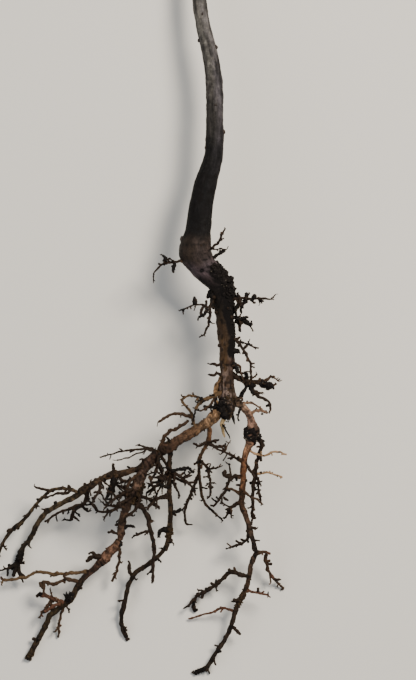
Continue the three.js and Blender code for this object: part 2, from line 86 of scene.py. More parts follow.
limbs = {
    "left_root": root("taproot", 30, (2.3, 2.2), 4, 2.6, ((3.4, -33.5), (-1.5, -36.8), (-5, -40.4),
        (-10, -43.9), (-20, -49.7), (-31, -56)), knots=((0.9, 3.3),)),
    "left_lower_root": root("left_root", 19, (2.6, 1.6), 6, 2.6, ((-31, -56), (-38.5, -65), (-42, -75),
        (-47.5, -85), (-49.5, -95), (-50.4, -101)), knots=((0.4, 2.9),)),
    "left_lower_root_end": root("left_lower_root", 1.9, (2.1, 1.3), 7, 2.6, ((-50.2, -100), (-57, -109),
        (-61.4, -113.4), (-70.6, -122.7), (-75.7, -131.4), (-85, -138.2), (-89, -146.8),
        (-97.8, -162.2)), knots=((0.12, 2.7), (0.42, 2.2), (1, 1.8))),
    "left_outer_root": root("left_lower_root", 22.5, (1.6, 1.7), 5, 2.6, ((-37, -63.6), (-44, -65.6),
        (-52.5, -67), (-57.5, -68.8), (-63, -72), (-71, -76.6)), knots=((0.45, 2.6),)),
    "left_outer_root_upper": root("left_outer_root", 3, (0.9, 0.8), 5, 2.6, ((-70, -76), (-76, -74.8),
        (-84.4, -75.4), (-91.6, -82), (-98.3, -90.3), (-106.5, -97.7), (-115, -115)),
        knots=((0.62, 1.5),)),
    "left_outer_root_lower": root("left_outer_root", 2.2, (1.4, 1.2), 5, 2.6, ((-66, -74), (-74, -79.4),
        (-87.6, -86.8), (-93.3, -94.9), (-94.9, -99), (-99.6, -105.2), (-102.6, -113)),
        arms=(((-102.6, -113), (-107, -115.4)), ((-102.6, -113), (-104.4, -119.2)), ((-102.6, -113),
        (-100.6, -119.2))), knots=((0.96, 1.9),)),
    "right_root": root("taproot", 19, (2, 1.2), 9, 2.6, ((4, -26), (10.4, -32.4), (15.4, -39.4),
        (16.8, -44.6), (12.5, -59), (11.4, -74), (10.8, -81), (14.4, -93), (18.5, -107)),
        knots=((0.27, 3.2),)),
    "right_root_end": root("right_root", 1.4, (1.2, 1.1), 7, 2.6, ((18.5, -107), (16.1, -111.8),
        (13.2, -125), (8.6, -135), (4.6, -147), (-1, -157), (-6.5, -165.8), (-12.8, -169)),
        knots=((0.34, 1.6), (0.94, 1.4))),
    "side_root": root("taproot", 34, (1, 1.2), 2, 2.6, ((3, -16), (-0.9, -20.8), (-2, -24), (-2.2, -28),
        (-1.9, -33), (-1, -38))),
    "middle_root": root("left_root", 16, (1.1, 0.6), 6, 2.6, ((-4, -39.5), (-5, -48), (-10.4, -60),
        (-9.8, -72), (-7.6, -82), (0.6, -90))),
    "inner_root": root("left_root", 1.4, (1.25, 1.1), 9, 2.6, ((-25, -52), (-25.4, -70), (-25, -88),
        (-25.6, -97), (-27.4, -105), (-35.4, -112.6), (-44, -119.2), (-47.6, -129.6), (-49.8, -142),
        (-47.2, -151.2)), knots=((0.4, 1.8),)),
}
masses = {
    "crook_left": root("taproot", 38, (0.8, 0.4), 4, 4, ((-12, 40.6), (-22, 39.2), (-30, 37),
        (-33, 33.6))),
    "crook_right": root("taproot", 40, (0.8, 0.4), 3, 3, ((-10, 44), (-2, 47.6), (2.6, 55.4)),
        arms=(((-4, 46.6), (3.2, 45)),)),
    "taproot_right_upper": root("taproot", 38, (0.8, 0.4), 7, 3.2, ((2, 22), (11.4, 21), (18, 20.6),
        (25, 20.2)), arms=(((12.4, 20.9), (8.8, 15.4)),)),
    "taproot_right_tuft": root("taproot", 30, (0.8, 0.5), 7, 3.6, ((2, 11), (9, 10.8), (14.6, 7.6)),
        arms=(((8.6, 10.8), (9.6, 4.6)),)),
    "taproot_left": root("taproot", 40, (0.8, 0.5), 5, 3, ((0, 26), (-4.7, 17), (-5.6, 8.6), (-7.6, 3)),
        arms=(((-4.8, 15.4), (-12, 17.8), (-18.4, 15)),)),
    "taproot_right_lower": root("taproot", 42, (0.8, 0.5), 5, 2.6, ((3, 3), (9.8, -2.6), (15.2, -12),
        (15.4, -18)), arms=(((9, -2), (19.4, -4)),)),
    "crown_right_cluster": root("taproot", 37, (1.1, 0.8), 7, 3.6, ((3.6, -17), (11.4, -20),
        (18, -21.2), (26, -23)), arms=(((14, -20.4), (17.6, -27), (24, -31), (25.2, -35)), ((12, -20.2),
        (10.6, -28.6)), ((20, -21.6), (25.4, -18)))),
    "crown_right_twig": root("right_root", 27, (0.6, 0.4), 3, 2.2, ((9, -31), (16, -31.6), (21, -35))),
    "crown_left_tangle": root("taproot", 41, (1, 0.6), 7, 3.8, ((3.6, -25), (-3.6, -28.4),
        (-10.6, -31.4), (-12.4, -34.6)), arms=(((-4, -28.6), (-6.4, -34), (-10, -35.4)), ((-7.4, -29.8),
        (-13, -28)))),
    "crown_pale": root("taproot", 35, (1.2, 0.7), 2, 3, ((3, -37), (0.8, -43), (2.4, -48.6)),
        arms=(((0.9, -42), (5, -49.4)),)),
    "crown_under": root("taproot", 6, (1, 0.5), 6, 3.4, ((3.6, -33), (-1.5, -37), (-8, -42.6),
        (-15, -46.8), (-21, -50.4))),
    "left_wiry": root("left_root", 42, (0.65, 0.4), 4, 2.6, ((-11, -44), (-14, -36.6), (-19, -30.6),
        (-17, -28), (-11.6, -27.8)), arms=(((-14, -36.6), (-22, -36.4), (-31, -41)),)),
    "left_loop": root("left_root", 36, (0.65, 0.5), 2, 2.2, ((-28.4, -53.6), (-27, -47), (-21, -44),
        (-15.6, -40))),
    "knuckle_left": root("left_root", 36, (0.7, 0.35), 4, 2.4, ((-29, -54.8), (-38, -54.4),
        (-48, -55.4), (-60, -58.6)), arms=(((-37, -54.4), (-44, -58), (-51.6, -60)),)),
    "outer_tuft_near": root("left_outer_root", 12, (0.9, 0.5), 7, 4.6, ((-51, -66.4), (-52.6, -73),
        (-57.6, -80.6)), arms=(((-52.6, -73), (-48.4, -76.6)),)),
    "outer_tuft_far": root("left_outer_root", 31, (0.8, 0.5), 6, 4.4, ((-60, -70.6), (-60.6, -76),
        (-63.6, -80.4))),
    "outer_under": root("left_outer_root", 12, (1, 0.7), 5, 3.4, ((-67, -75), (-68, -81), (-74, -86.8),
        (-75, -91)), arms=(((-70, -83.4), (-80, -86.6), (-88.4, -91.6)), ((-68, -81), (-66.4, -86.4)))),
    "lower_upper_tuft": root("left_lower_root", 36, (0.9, 0.5), 7, 4.6, ((-41, -75), (-48.6, -76.6),
        (-56, -81.4)), arms=(((-46, -75.8), (-47.6, -71.6)),)),
    "lower_middle_tuft": root("left_lower_root", 27, (0.9, 0.4), 7, 3.8, ((-46, -82.4), (-52, -84.6),
        (-59, -86.4), (-66, -80.4)), arms=(((-50, -84), (-58.4, -82)),)),
    "lower_hanging": root("left_lower_root", 8, (0.8, 0.5), 3, 2.4, ((-51.6, -102.4), (-50.9, -112.4),
        (-54.6, -122.2))),
    "long_pale": root("left_lower_root_end", 8, (0.85, 0.6), 4, 2.4, ((-66.6, -118.8), (-82, -118),
        (-93.4, -117.2), (-97, -119.4), (-109.6, -121.2))),
    "curled": root("left_lower_root_end", 15, (0.9, 0.6), 4, 2.6, ((-70.6, -122.2), (-76.6, -120.6),
        (-84.6, -122.8), (-88.2, -121.6), (-88.8, -127.4))),
    "tip_red": root("left_lower_root_end", 10, (1.2, 1), 4, 3, ((-78, -133), (-86.9, -129.4),
        (-91, -128)), arms=(((-85, -130.2), (-90.4, -139)),)),
    "tip_hanging": root("left_lower_root_end", 1.4, (0.9, 0.7), 3, 2.4, ((-77, -132.8), (-80.6, -139.4),
        (-82, -151))),
    "tangle_near": root("left_root", 37, (0.9, 0.5), 7, 4.6, ((-28, -54.6), (-31, -63), (-34.4, -70)),
        arms=(((-30.6, -62), (-27.4, -69.6)),)),
    "tangle_upper": root("inner_root", 18, (0.9, 0.5), 7, 4.8, ((-25.2, -68.4), (-31, -72.6),
        (-37, -77)), arms=(((-30, -72), (-31.6, -78)),)),
    "tangle_lower": root("inner_root", 30, (0.9, 0.5), 6, 4.4, ((-25, -77.6), (-31, -79.2),
        (-36, -84))),
    "tangle_under": root("left_lower_root", 4, (1, 0.5), 7, 4.4, ((-36, -63), (-40.4, -71),
        (-43.2, -79), (-47.6, -87), (-49.6, -94))),
    "bridge": root("inner_root", 30, (0.9, 0.5), 6, 3.4, ((-25.2, -67), (-19, -69), (-13, -74.4)),
        arms=(((-20, -68.6), (-14, -65.6)),)),
    "middle_lower": root("middle_root", 10, (0.8, 0.5), 4, 3, ((-10.6, -66), (-13, -74), (-17.6, -85),
        (-17, -93))),
    "middle_right": root("middle_root", 33, (0.7, 0.5), 5, 2.8, ((-8.8, -57.6), (-6, -65), (-5, -78)),
        arms=(((-6.4, -63), (-0.6, -63.6)),)),
    "crossing": root("right_root", 33, (0.7, 0.4), 6, 2.8, ((12.6, -58.6), (4, -56.8), (-3, -53.6)),
        arms=(((2, -56), (4.4, -51.4)),)),
    "right_left_fork": root("right_root", 22, (0.9, 0.5), 5, 2.6, ((11.8, -68), (5.8, -69), (2.6, -76),
        (-3, -83.4)), arms=(((6.2, -69), (4.6, -62.4)),)),
    "right_lower_fork": root("right_root", 20, (0.9, 0.5), 5, 2.8, ((11.4, -83), (5.6, -84),
        (2.6, -89.6)), arms=(((5.6, -84), (0.8, -81.4)),)),
    "right_second": root("right_root", 15, (1, 0.7), 6, 3, ((16, -48.6), (21, -51), (18.4, -62),
        (16.6, -74), (16.4, -90)), arms=(((17.4, -67), (20.6, -81)),)),
    "right_pale": root("right_root", 33, (0.6, 0.4), 1, 2, ((12.6, -58), (22.6, -57.8), (27, -55.6),
        (33.4, -57.2))),
    "right_low_twig": root("right_root", 14, (0.8, 0.5), 3, 2.2, ((15.6, -97), (12.6, -101.4),
        (6, -104.4))),
    "right_elbow": root("right_root", 0.8, (0.9, 0.5), 4, 3, ((18, -104.6), (23.2, -106.6),
        (23.2, -111), (24.4, -116), (32.2, -126.2))),
    "right_long": root("right_root_end", 1.1, (0.9, 0.8), 4, 2.4, ((14.8, -116.4), (5.2, -117.4),
        (-3.5, -125.2), (-12.6, -130.6), (-13.1, -137.4)), arms=(((-12, -130), (-16.6, -134.8)),)),
    "right_short": root("right_root_end", 14, (0.7, 0.5), 3, 2, ((12.8, -127), (18, -127.2),
        (24, -128.4))),
    "right_red": root("right_root_end", 2, (0.6, 0.4), 1, 2, ((8.4, -135.6), (1.1, -135.6),
        (-4, -137.8), (-16.1, -141.4))),
    "hanging_left": root("left_lower_root", 19, (1.2, 0.6), 5, 3, ((-42.6, -78.4), (-37.4, -86),
        (-35, -96), (-33.2, -103), (-33.8, -121.8)), arms=(((-35.2, -93), (-43.4, -98.4)),)),
    "twig_low_left": root("stem", 32, (1.3, 0.6), 6, 2.2, ((-13.4, 212), (-21, 228), (-28, 248),
        (-31, 270))),
    "twig_right": root("stem", 22, (1.3, 0.6), 6, 2.2, ((-11, 252), (-1, 270), (6, 288), (9, 308))),
    "twig_high_left": root("stem", 5, (1.1, 0.5), 5, 2, ((-9.4, 292), (-18, 306), (-25, 322),
        (-27, 342))),
}
# The source's rule for what grows along a root, and the numbers that it draws with.
rule = dict(firstSeed=977, nextSeed=131, place=(0.25, 0.7), turn=(2.4, 1.2), length=(0.55, 0.9),
    lean=(0.5, 1), sway=0.5, droop=0.2, foot=0.8, tip=0.3, middle=0.6, rootletGap=0.6, groundGap=0.2)
armRule = dict(thinning=0.7, rootlets=0.4, fall=2 / 3)
kinds = {
    "stem": dict(step=14, reach=2.2, lean=1.8, foot=0.8, rootlets=14, start=0.5),
    "taproot": dict(step=4, reach=2.6, lean=0.3, foot=0.5, rootlets=0, start=0),
    "limb": dict(step=7, lean=0.3, foot=0.5, start=0),
    "mass": dict(step=6.5, lean=0.6, foot=0.45, start=0),
    "twig": dict(step=6.5, lean=1.8, foot=0.8, start=0),
}
curvePlaces = 201  # where a curve's length is taken


def unit(v):
    return v / np.linalg.norm(v, axis=-1, keepdims=True)


def blend(low, high, share):
    return low + (high - low) * share


# A value that runs through (place, value) stops.
def along(stops, place):
    return np.interp(place, *zip(*stops))


# Places on a smooth centripetal curve through the points, each as a share of its legs.
def curveAt(points, share):
    legs = len(points) - 1
    leg = np.minimum(np.floor(share * legs).astype(int), legs - 1)
    w = (share * legs - leg)[:, None]
    ends = np.vstack([2 * points[0] - points[1], points, 2 * points[-1] - points[-2]])
    a, b, c, d = (ends[leg + k] for k in range(4))
    pairs = (a, b), (b, c), (c, d)
    ab, bc, cd = (np.linalg.norm(q - p, axis=1, keepdims=True) ** 0.5 for p, q in pairs)
    leave = ((b - a) / ab - (c - a) / (ab + bc) + (c - b) / bc) * bc
    arrive = ((c - b) / bc - (d - b) / (bc + cd) + (d - c) / cd) * bc
    bend = (3 * (c - b) - 2 * leave - arrive) * w**2
    return b + leave * w + bend + (2 * (b - c) + leave + arrive) * w**3


def lengthsAlong(at):
    return np.r_[0, np.cumsum(np.linalg.norm(np.diff(at, axis=0), axis=1))]


# Rows of x, y, z and radius at even steps along the curve through the stations.
def pathOf(stations, step):
    stations = np.array(stations, float)
    shares = np.linspace(0, 1, curvePlaces)
    gone = lengthsAlong(curveAt(stations[:, :3], shares))
    count = max(1, math.floor(gone[-1] / step + 0.5))
    share = np.interp(np.linspace(0, 1, count + 1) * gone[-1], gone, shares)
    radius = np.interp(share * (len(stations) - 1), range(len(stations)), stations[:, 3])
    return np.column_stack([curveAt(stations[:, :3], share), radius])


# Stations of a branch that leaves its parent at the point nearest to the run's first.
def branchStations(parent, run, height, girth):
    foot = parent[np.hypot(parent[:, 0] - run[0][0], parent[:, 1] - run[0][1]).argmin()]
    plan = np.array([foot[:2], *run[1:]])
    gone = lengthsAlong(plan)
    share = gone / gone[-1]
    return np.column_stack([plan, blend(foot[2], height, share), blend(girth[0], girth[1], share)])


# Three square directions at each point of a path, carried along it without a twist.
def framesOf(at):
    tangent = unit(np.vstack([at[1:], at[-1:]]) - np.vstack([at[:1], at[:-1]]))
    side = np.empty_like(tangent)
    steep = abs(tangent[0, 2]) > 0.9
    last = np.array([1.0, 0, 0] if steep else [0, 0, 1.0])
    for i, t in enumerate(tangent):
        last = unit(last - t * last.dot(t))
        side[i] = last
    return side, tangent, np.cross(side, tangent)


# The same seed deals the same draws as in the source.
def dice(seed, factor=16807, modulus=2147483647):
    state = seed
    while True:
        state = (state * factor) % modulus
        yield state / modulus


# What is already there, which a rootlet has to keep clear of: start, end, radius and node's number.
taken = np.zeros((6000, 8))
takenCount = 0


def take(path, number):
    global takenCount
    rows = len(path) - 1
    radius = np.maximum(path[:-1, 3], path[1:, 3])
    taken[takenCount:takenCount + rows] = np.column_stack(
        [path[:-1, :3], path[1:, :3], radius, np.full(rows, number)])
    takenCount += rows


def isClear(point, radius, number):
    rows = taken[:takenCount]
    start, line = rows[:, :3], rows[:, 3:6] - rows[:, :3]
    share = np.clip(((point - start) * line).sum(1) / (line**2).sum(1), 0, 1)
    gap = np.linalg.norm(start + line * share[:, None] - point, axis=1) - rows[:, 6] - radius
    return point[2] > radius + rule["groundGap"] and not (
        (gap <= rule["rootletGap"]) & (rows[:, 7] != number)).any()


def rootletsAlong(path, number, count, kind, reach, draw):
    side, tangent, across = framesOf(path[:, :3])
    span = lambda least, more: least + more * next(draw)
    found = []
    for i in range(count):
        station = math.floor((i + span(*rule["place"])) / count * (len(path) - 1) + 0.5)
        at, radius = path[station, :3], path[station, 3]
        turn = i * rule["turn"][0] + rule["turn"][1] * next(draw)
        length = radius + reach * span(*rule["length"])
        lean = kind["lean"] * span(*rule["lean"])
        heading = math.cos(turn) * side[station] + lean * tangent[station]
        heading = heading + math.sin(turn) * across[station]
        sway = np.array([next(draw) - 0.5, next(draw) - 0.5 - rule["droop"], next(draw) - 0.5])
        tip = at + unit(heading) * length + sway * rule["sway"] * reach
        thick = min(radius * rule["foot"], kind["foot"])
        if isClear(tip, thick, number) and isClear(blend(at, tip, rule["middle"]), thick, number):
            rootlet = np.array([[*at, thick], [*tip, thick * rule["tip"]]])
            take(rootlet, number)
            found.append(rootlet)
    return found


# Each node's stations, its paths at the source's own steps, and its rootlets.
grown = {}
for name, stations in (("stem", stemStations), ("taproot", taprootStations)):
    kind = kinds[name]
    grown[name] = dict(kind, kind=kind, stations=[stations], paths=[pathOf(stations, kind["step"])])
for name, entry in {**limbs, **masses}.items():
    kind = kinds["limb" if name in limbs else "twig" if entry["on"] == "stem" else "mass"]
    parent = grown[entry["on"]]["paths"][0]
    stations = [branchStations(parent, entry["run"], entry["height"], entry["girth"])]
    paths = [pathOf(stations[0], kind["step"])]
    thin = entry["girth"][1]
    armHeight = max(thin + rule["groundGap"], blend(paths[0][0, 2], entry["height"], armRule["fall"]))
    for arm in entry["arms"]:
        stations.append(branchStations(paths[0], arm, armHeight, (thin, thin * armRule["thinning"])))
        paths.append(pathOf(stations[-1], kind["step"]))
    grown[name] = dict(entry, kind=kind, stations=stations, paths=paths)
for number, node in enumerate(grown.values()):
    for path in node["paths"]:
        take(path, number)
for number, node in enumerate(grown.values()):
    draw = dice(rule["firstSeed"] + rule["nextSeed"] * number)
    kind, count = node["kind"], node["rootlets"]
    node["rootlets"] = []
    for i, path in enumerate(node["paths"]):
        if i == 1:
            count = math.floor(count * armRule["rootlets"] + 0.5)
        bearing = path[math.floor(kind["start"] * len(path) + 0.5):]
        node["rootlets"] += rootletsAlong(bearing, number, count, kind, node["reach"], draw)
print("routes grown:", sum(len(node["rootlets"]) for node in grown.values()), "rootlets")


# Smooth noise of -1 to 1 at points in millimetres, with features about `size` across. A size of
# three numbers gives streaks.
def noiseAt(points, size, seed):
    place = points / size + seed * 17.31
    cell = np.floor(place).astype(np.int64)
    part = place - cell
    part = part * part * (3 - 2 * part)
    total = np.zeros(len(points))
    for corner in itertools.product((0, 1), repeat=3):
        key = (cell + corner) @ np.array([73856093, 19349663, 83492791])
        key = (key ^ (key >> 13)) * 1274126177
        value = ((key ^ (key >> 16)) & 0xFFFF) / 32767.5 - 1
        total += value * np.where(corner, part, 1 - part).prod(axis=1)
    return total


# Layers of noise added up: how much of each, the size of its features and its seed.
def layered(points, *layers):
    return sum(amount * noiseAt(points, size, seed) for amount, size, seed in layers)


# How far noise is past `start`, from 0 to 1 over the next `width` of it.
def patchy(points, size, seed, start, width):
    return np.clip((noiseAt(points, size, seed) - start) / width, 0, 1)


# An sRGB colour in linear light.
def linear(hexColour):
    channels = [int(hexColour[i:i + 2], 16) / 255 for i in (1, 3, 5)]
    return [c / 12.92 if c <= 0.04045 else ((c + 0.055) / 1.055) ** 2.4 for c in channels] + [1.0]


# Linear colours that run through (place, colour) stops.
def tintAt(stops, place):
    places = [stop for stop, _ in stops]
    colours = np.array([linear(colour)[:3] for _, colour in stops])
    return np.column_stack([np.interp(place, places, colours[:, k]) for k in range(3)])


def newBag():
    return dict(points=[], faces=[], skins=[], tint=[], soil=[], straight=[], count=0)


# How far back a tip's rounding begins, in radii, and the places of its rings over that length.
tipShape = dict(bluntness=0.8, rings=(0, 0.45, 0.8, 0.97), slack=0.05)


# A path whose last rings close it in a blunt round tip, without reaching further.
def rounded(path):
    tip, radius = path[-1, :3], path[-1, 3]
    heading = unit(tip - path[-2, :3])
    gone = lengthsAlong(path[:, :3])
    blunt = radius * tipShape["bluntness"]
    kept = path[gone < gone[-1] - blunt - tipShape["slack"]]
    if not len(kept):
        kept = path[:1]
    shares = np.array(tipShape["rings"])
    rings = tip - np.outer(blunt * (1 - shares), heading)
    return np.vstack([kept, np.column_stack([rings, radius * np.sqrt(1 - shares**2)])])


# A closed tube along a path. `lift` gives how far each point of its skin stands out, and `paint` its
# tint and how much soil covers it.
def addTube(bag, path, sides, skin=0, lift=None, paint=None):
    at, radius = path[:, :3], path[:, 3]
    side, tangent, across = framesOf(at)
    gone = lengthsAlong(at)
    rings = len(path)
    turn = np.arange(sides) * 2 * math.pi / sides
    spoke = np.cos(turn)[None, :, None] * side[:, None] + np.sin(turn)[None, :, None] * across[:, None]
    surface = (at[:, None] + spoke * radius[:, None, None]).reshape(-1, 3)
    spoke = spoke.reshape(-1, 3)
    around = np.repeat(radius, sides)
    straight = np.column_stack([around * np.tile(np.cos(turn), rings), np.repeat(gone, sides),
        around * np.tile(np.sin(turn), rings)])
    share = np.repeat(gone / gone[-1], sides)
    if lift:
        surface = surface + spoke * lift(surface, straight, around, share)[:, None]
    plain = np.ones((len(surface), 3)), share * 0
    tint, soil = paint(surface, straight, spoke, share) if paint else plain
    first = bag["count"]
    bag["points"].append(np.vstack([surface, at[:1], at[-1:]]))
    bag["tint"].append(np.vstack([tint, tint[:1], tint[-1:]]))
    bag["soil"].append(np.r_[soil, soil[0], soil[-1]])
    bag["straight"].append(np.vstack([straight, straight[:1], straight[-1:]]))
    bag["count"] += len(surface) + 2
    ring, column = np.divmod(np.arange((rings - 1) * sides), sides)
    beside = (column + 1) % sides
    low, high = first + ring * sides, first + (ring + 1) * sides
    bag["faces"] += np.column_stack([low + column, high + column, high + beside, low + beside]).tolist()
    footCentre = first + rings * sides
    tipCentre = footCentre + 1
    last = footCentre - sides
    for k in range(sides):
        after = (k + 1) % sides
        bag["faces"] += [[footCentre, first + k, first + after], [tipCentre, last + after, last + k]]
    bag["skins"] += [skin] * ((rings - 1) * sides + 2 * sides)


def ballOf(detail):
    ball = bmesh.new()
    bmesh.ops.create_icosphere(ball, subdivisions=detail, radius=1)
    shape = np.array([v.co for v in ball.verts]), [[v.index for v in face.verts] for face in ball.faces]
    ball.free()
    return shape


balls = {detail: ballOf(detail) for detail in (1, 2, 3)}
# How much a lump is stretched each way, by its seed, and the sizes of its swellings.
lumpShape = dict(stretch=0.25, waves=np.array([1.7, 2.9, 4.3]), swell=0.8, fine=0.34)


# A rough closed lump, such as a clod, a crumb of soil or a knob of bark.
def addLump(bag, centre, size, detail, seed, skin=0, rough=0.45, tint="#191512", soil=1.0):
    ball, faces = balls[detail]
    stretch = 1 + lumpShape["stretch"] * np.sin(seed * lumpShape["waves"])
    swell = layered(ball, (rough, lumpShape["swell"], seed), (0.5 * rough, lumpShape["fine"], seed + 3))
    points = centre + ball * stretch * (1 + swell[:, None]) * size
    first = bag["count"]
    bag["points"].append(points)
    bag["tint"].append(np.tile(linear(tint)[:3], (len(points), 1)))
    bag["soil"].append(np.full(len(points), soil))
    bag["straight"].append(points)
    bag["faces"] += [[first + k for k in face] for face in faces]
    bag["skins"] += [skin] * len(faces)
    bag["count"] += len(points)


# The bag's mesh as an object in the frame, in metres, held in the box of the solids.
def makePiece(name, bag, materials, replaced=()):
    mesh = bpy.data.meshes.new(name)
    points = (np.clip(np.vstack(bag["points"]), boxLow, boxHigh) + planShift) * mm
    mesh.from_pydata(points.tolist(), [], bag["faces"])
    for material in materials:
        mesh.materials.append(material)
    mesh.polygons.foreach_set("material_index", bag["skins"])
    mesh.polygons.foreach_set("use_smooth", [True] * len(mesh.polygons))
    tint = np.column_stack([np.vstack(bag["tint"]), np.ones(len(points))])
    layers = (("barkTint", "FLOAT_COLOR", "color", tint),
        ("soilCover", "FLOAT", "value", np.concatenate(bag["soil"])),
        ("straightened", "FLOAT_VECTOR", "vector", np.vstack(bag["straight"])))
    for layerName, kind, field, values in layers:
        mesh.attributes.new(layerName, kind, "POINT").data.foreach_set(field, values.ravel())
    mesh.validate()
    piece = bpy.data.objects.new(name, mesh)
    bpy.context.scene.collection.objects.link(piece)
    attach(piece, "root")
    if replaced:
        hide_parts(*replaced)
    print(name, len(mesh.polygons), "faces")


# Adds a node. `links` gives an input the first output of another node, or the one named beside it.
def addNode(tree, kind, settings=None, links=None):
    node = tree.nodes.new(kind)
    for name, value in (settings or {}).items():
        if isinstance(name, int) or name in node.inputs:
            node.inputs[name].default_value = value
        else:
            setattr(node, name, value)
    for name, source in (links or {}).items():
        source, output = source if isinstance(source, tuple) else (source, 0)
        tree.links.new(source.outputs[output], node.inputs[name])
    return node


def newMaterial(name):
    material = bpy.data.materials.new(name)
    material.use_nodes = True
    tree = material.node_tree
    tree.nodes.clear()
    return material, tree


def finishMaterial(tree, settings, links=None):
    shader = addNode(tree, "ShaderNodeBsdfPrincipled", settings, links)
    addNode(tree, "ShaderNodeOutputMaterial", links={"Surface": shader})


# Bark under its own tint, with streaks that run along the wood, paler flecks where it has chafed,
# and a cover of dried soil. Wood and soil are both matt, so the gloss stays low and broad.
def makeBark(look):
    material, tree = newMaterial(look["name"])
    tint, soil, straight = (addNode(tree, "ShaderNodeAttribute", {"attribute_name": name})
        for name in ("barkTint", "soilCover", "straightened"))
    place = addNode(tree, "ShaderNodeTexCoord")
    wood = addNode(tree, "ShaderNodeMapping", {"Scale": look["streakScale"]},
        {"Vector": (straight, "Vector")})
    streaks = addNode(tree, "ShaderNodeTexNoise", {"Scale": 1.0, "Detail": 4.0, "Roughness": 0.62},
        {"Vector": wood})
    flecks = addNode(tree, "ShaderNodeTexNoise", {"Scale": 1 / (look["fleck"] * mm), "Detail": 3.0,
        "Roughness": 0.7}, {"Vector": (place, "Object")})
    grime = addNode(tree, "ShaderNodeTexNoise", {"Scale": 1 / (look["grime"] * mm), "Detail": 5.0,
        "Roughness": 0.75}, {"Vector": (place, "Object")})
    darkStreak = addNode(tree, "ShaderNodeMapRange", {"From Min": 0.34, "From Max": 0.62,
        "To Min": look["streakDark"], "To Max": 1.12}, {"Value": streaks})
    paleFleck = addNode(tree, "ShaderNodeMapRange", {"From Min": 0.35, "From Max": 0.68,
        "To Min": 1 - 0.5 * look["fleckContrast"], "To Max": 1 + look["fleckContrast"]},
        {"Value": flecks})
    strength = addNode(tree, "ShaderNodeMath", {"operation": "MULTIPLY"}, {0: darkStreak, 1: paleFleck})
    marked = addNode(tree, "ShaderNodeVectorMath", {"operation": "SCALE"}, {0: tint, "Scale": strength})
    soilNoise = addNode(tree, "ShaderNodeMath", {"operation": "ADD"}, {0: (soil, "Fac"), 1: grime})
    cover = addNode(tree, "ShaderNodeMapRange", {"From Min": 0.9, "From Max": 1.12},
        {"Value": soilNoise})
    soiled = addNode(tree, "ShaderNodeMix", {"data_type": "RGBA", 7: linear(look["soilColour"])},
        {0: cover, 6: marked})
    rough = addNode(tree, "ShaderNodeMapRange", {"To Min": look["roughness"],
        "To Max": look["soilRoughness"]}, {"Value": cover})
    height = addNode(tree, "ShaderNodeMath", {"operation": "MULTIPLY_ADD", 1: look["fleckRelief"]},
        {0: flecks, 2: streaks})
    bump = addNode(tree, "ShaderNodeBump", {"Strength": look["bump"],
        "Distance": look["bumpDepth"] * mm}, {"Height": height})
    finishMaterial(tree, {"IOR": 1.45, "Specular IOR Level": look["specular"]},
        {"Base Color": (soiled, 2), "Roughness": rough, "Normal": bump})
    return material


skinLook = dict(mottle=0.9, roughSpread=0.08, bump=0.7, bumpDepth=0.2, specular=0.15)


# A thin skin of one colour, mottled by what clings to it. It is matt, like all young root.
def makeSkin(name, colour, roughness, contrast=0.4):
    material, tree = newMaterial(name)
    place = addNode(tree, "ShaderNodeTexCoord")
    mottle = addNode(tree, "ShaderNodeTexNoise", {"Scale": 1 / (skinLook["mottle"] * mm), "Detail": 3.0,
        "Roughness": 0.65}, {"Vector": (place, "Object")})
    strength = addNode(tree, "ShaderNodeMapRange", {"From Min": 0.33, "From Max": 0.67,
        "To Min": 1 - contrast, "To Max": 1 + contrast}, {"Value": mottle})
    mottled = addNode(tree, "ShaderNodeVectorMath", {"operation": "SCALE", 0: linear(colour)[:3]},
        {"Scale": strength})
    rough = addNode(tree, "ShaderNodeMapRange", {"To Min": roughness + skinLook["roughSpread"],
        "To Max": roughness - skinLook["roughSpread"]}, {"Value": mottle})
    bump = addNode(tree, "ShaderNodeBump", {"Strength": skinLook["bump"],
        "Distance": skinLook["bumpDepth"] * mm}, {"Height": mottle})
    finishMaterial(tree, {"IOR": 1.45, "Specular IOR Level": skinLook["specular"]},
        {"Base Color": mottled, "Roughness": rough, "Normal": bump})
    return material


# Marks on bark, each with its size, seed, start and width. A size of three numbers gives streaks
# along the wood.
def marksOn(surface, straight, looks):
    return {name: patchy(straight if isinstance(look[0], tuple) else surface, *look)
        for name, look in looks.items()}


def hump(distance, reach):
    return np.exp(-(distance / reach) ** 2)


# How a root swells out of its parent, and how far its knots reach and stand out.
swelling = dict(flare=0.3, flareReach=1.3, sunk=0.9, least=0.4, knot=0.93, knotReach=1.5)


# Thickens a path at its knots, and at its foot, where it swells out of a parent `foot` thick.
def swollen(path, knots, foot):
    at, radius = path[:, :3], path[:, 3].copy()
    gone = lengthsAlong(at)
    if foot:
        rise = np.clip(gone / (swelling["sunk"] * foot), 0, 1)
        collar = swelling["flare"] * hump(np.maximum(gone - foot, 0), swelling["flareReach"] * radius[0])
        radius *= blend(swelling["least"], 1, rise * rise * (3 - 2 * rise)) * (1 + collar * rise)
    for share, size in knots:
        more = np.maximum(size * swelling["knot"] - radius, 0)
        radius += more * hump(gone - share * gone[-1], swelling["knotReach"] * size)
    return np.column_stack([at, radius])


# How high joints stay off the floor, and how far the swelling of a tip and of a joint reaches: a
# share of the root's thickness, and a little more.
jointShape = dict(offFloor=0.5, tipReach=(1.3, 0.3), reach=(0.9, 0.25))


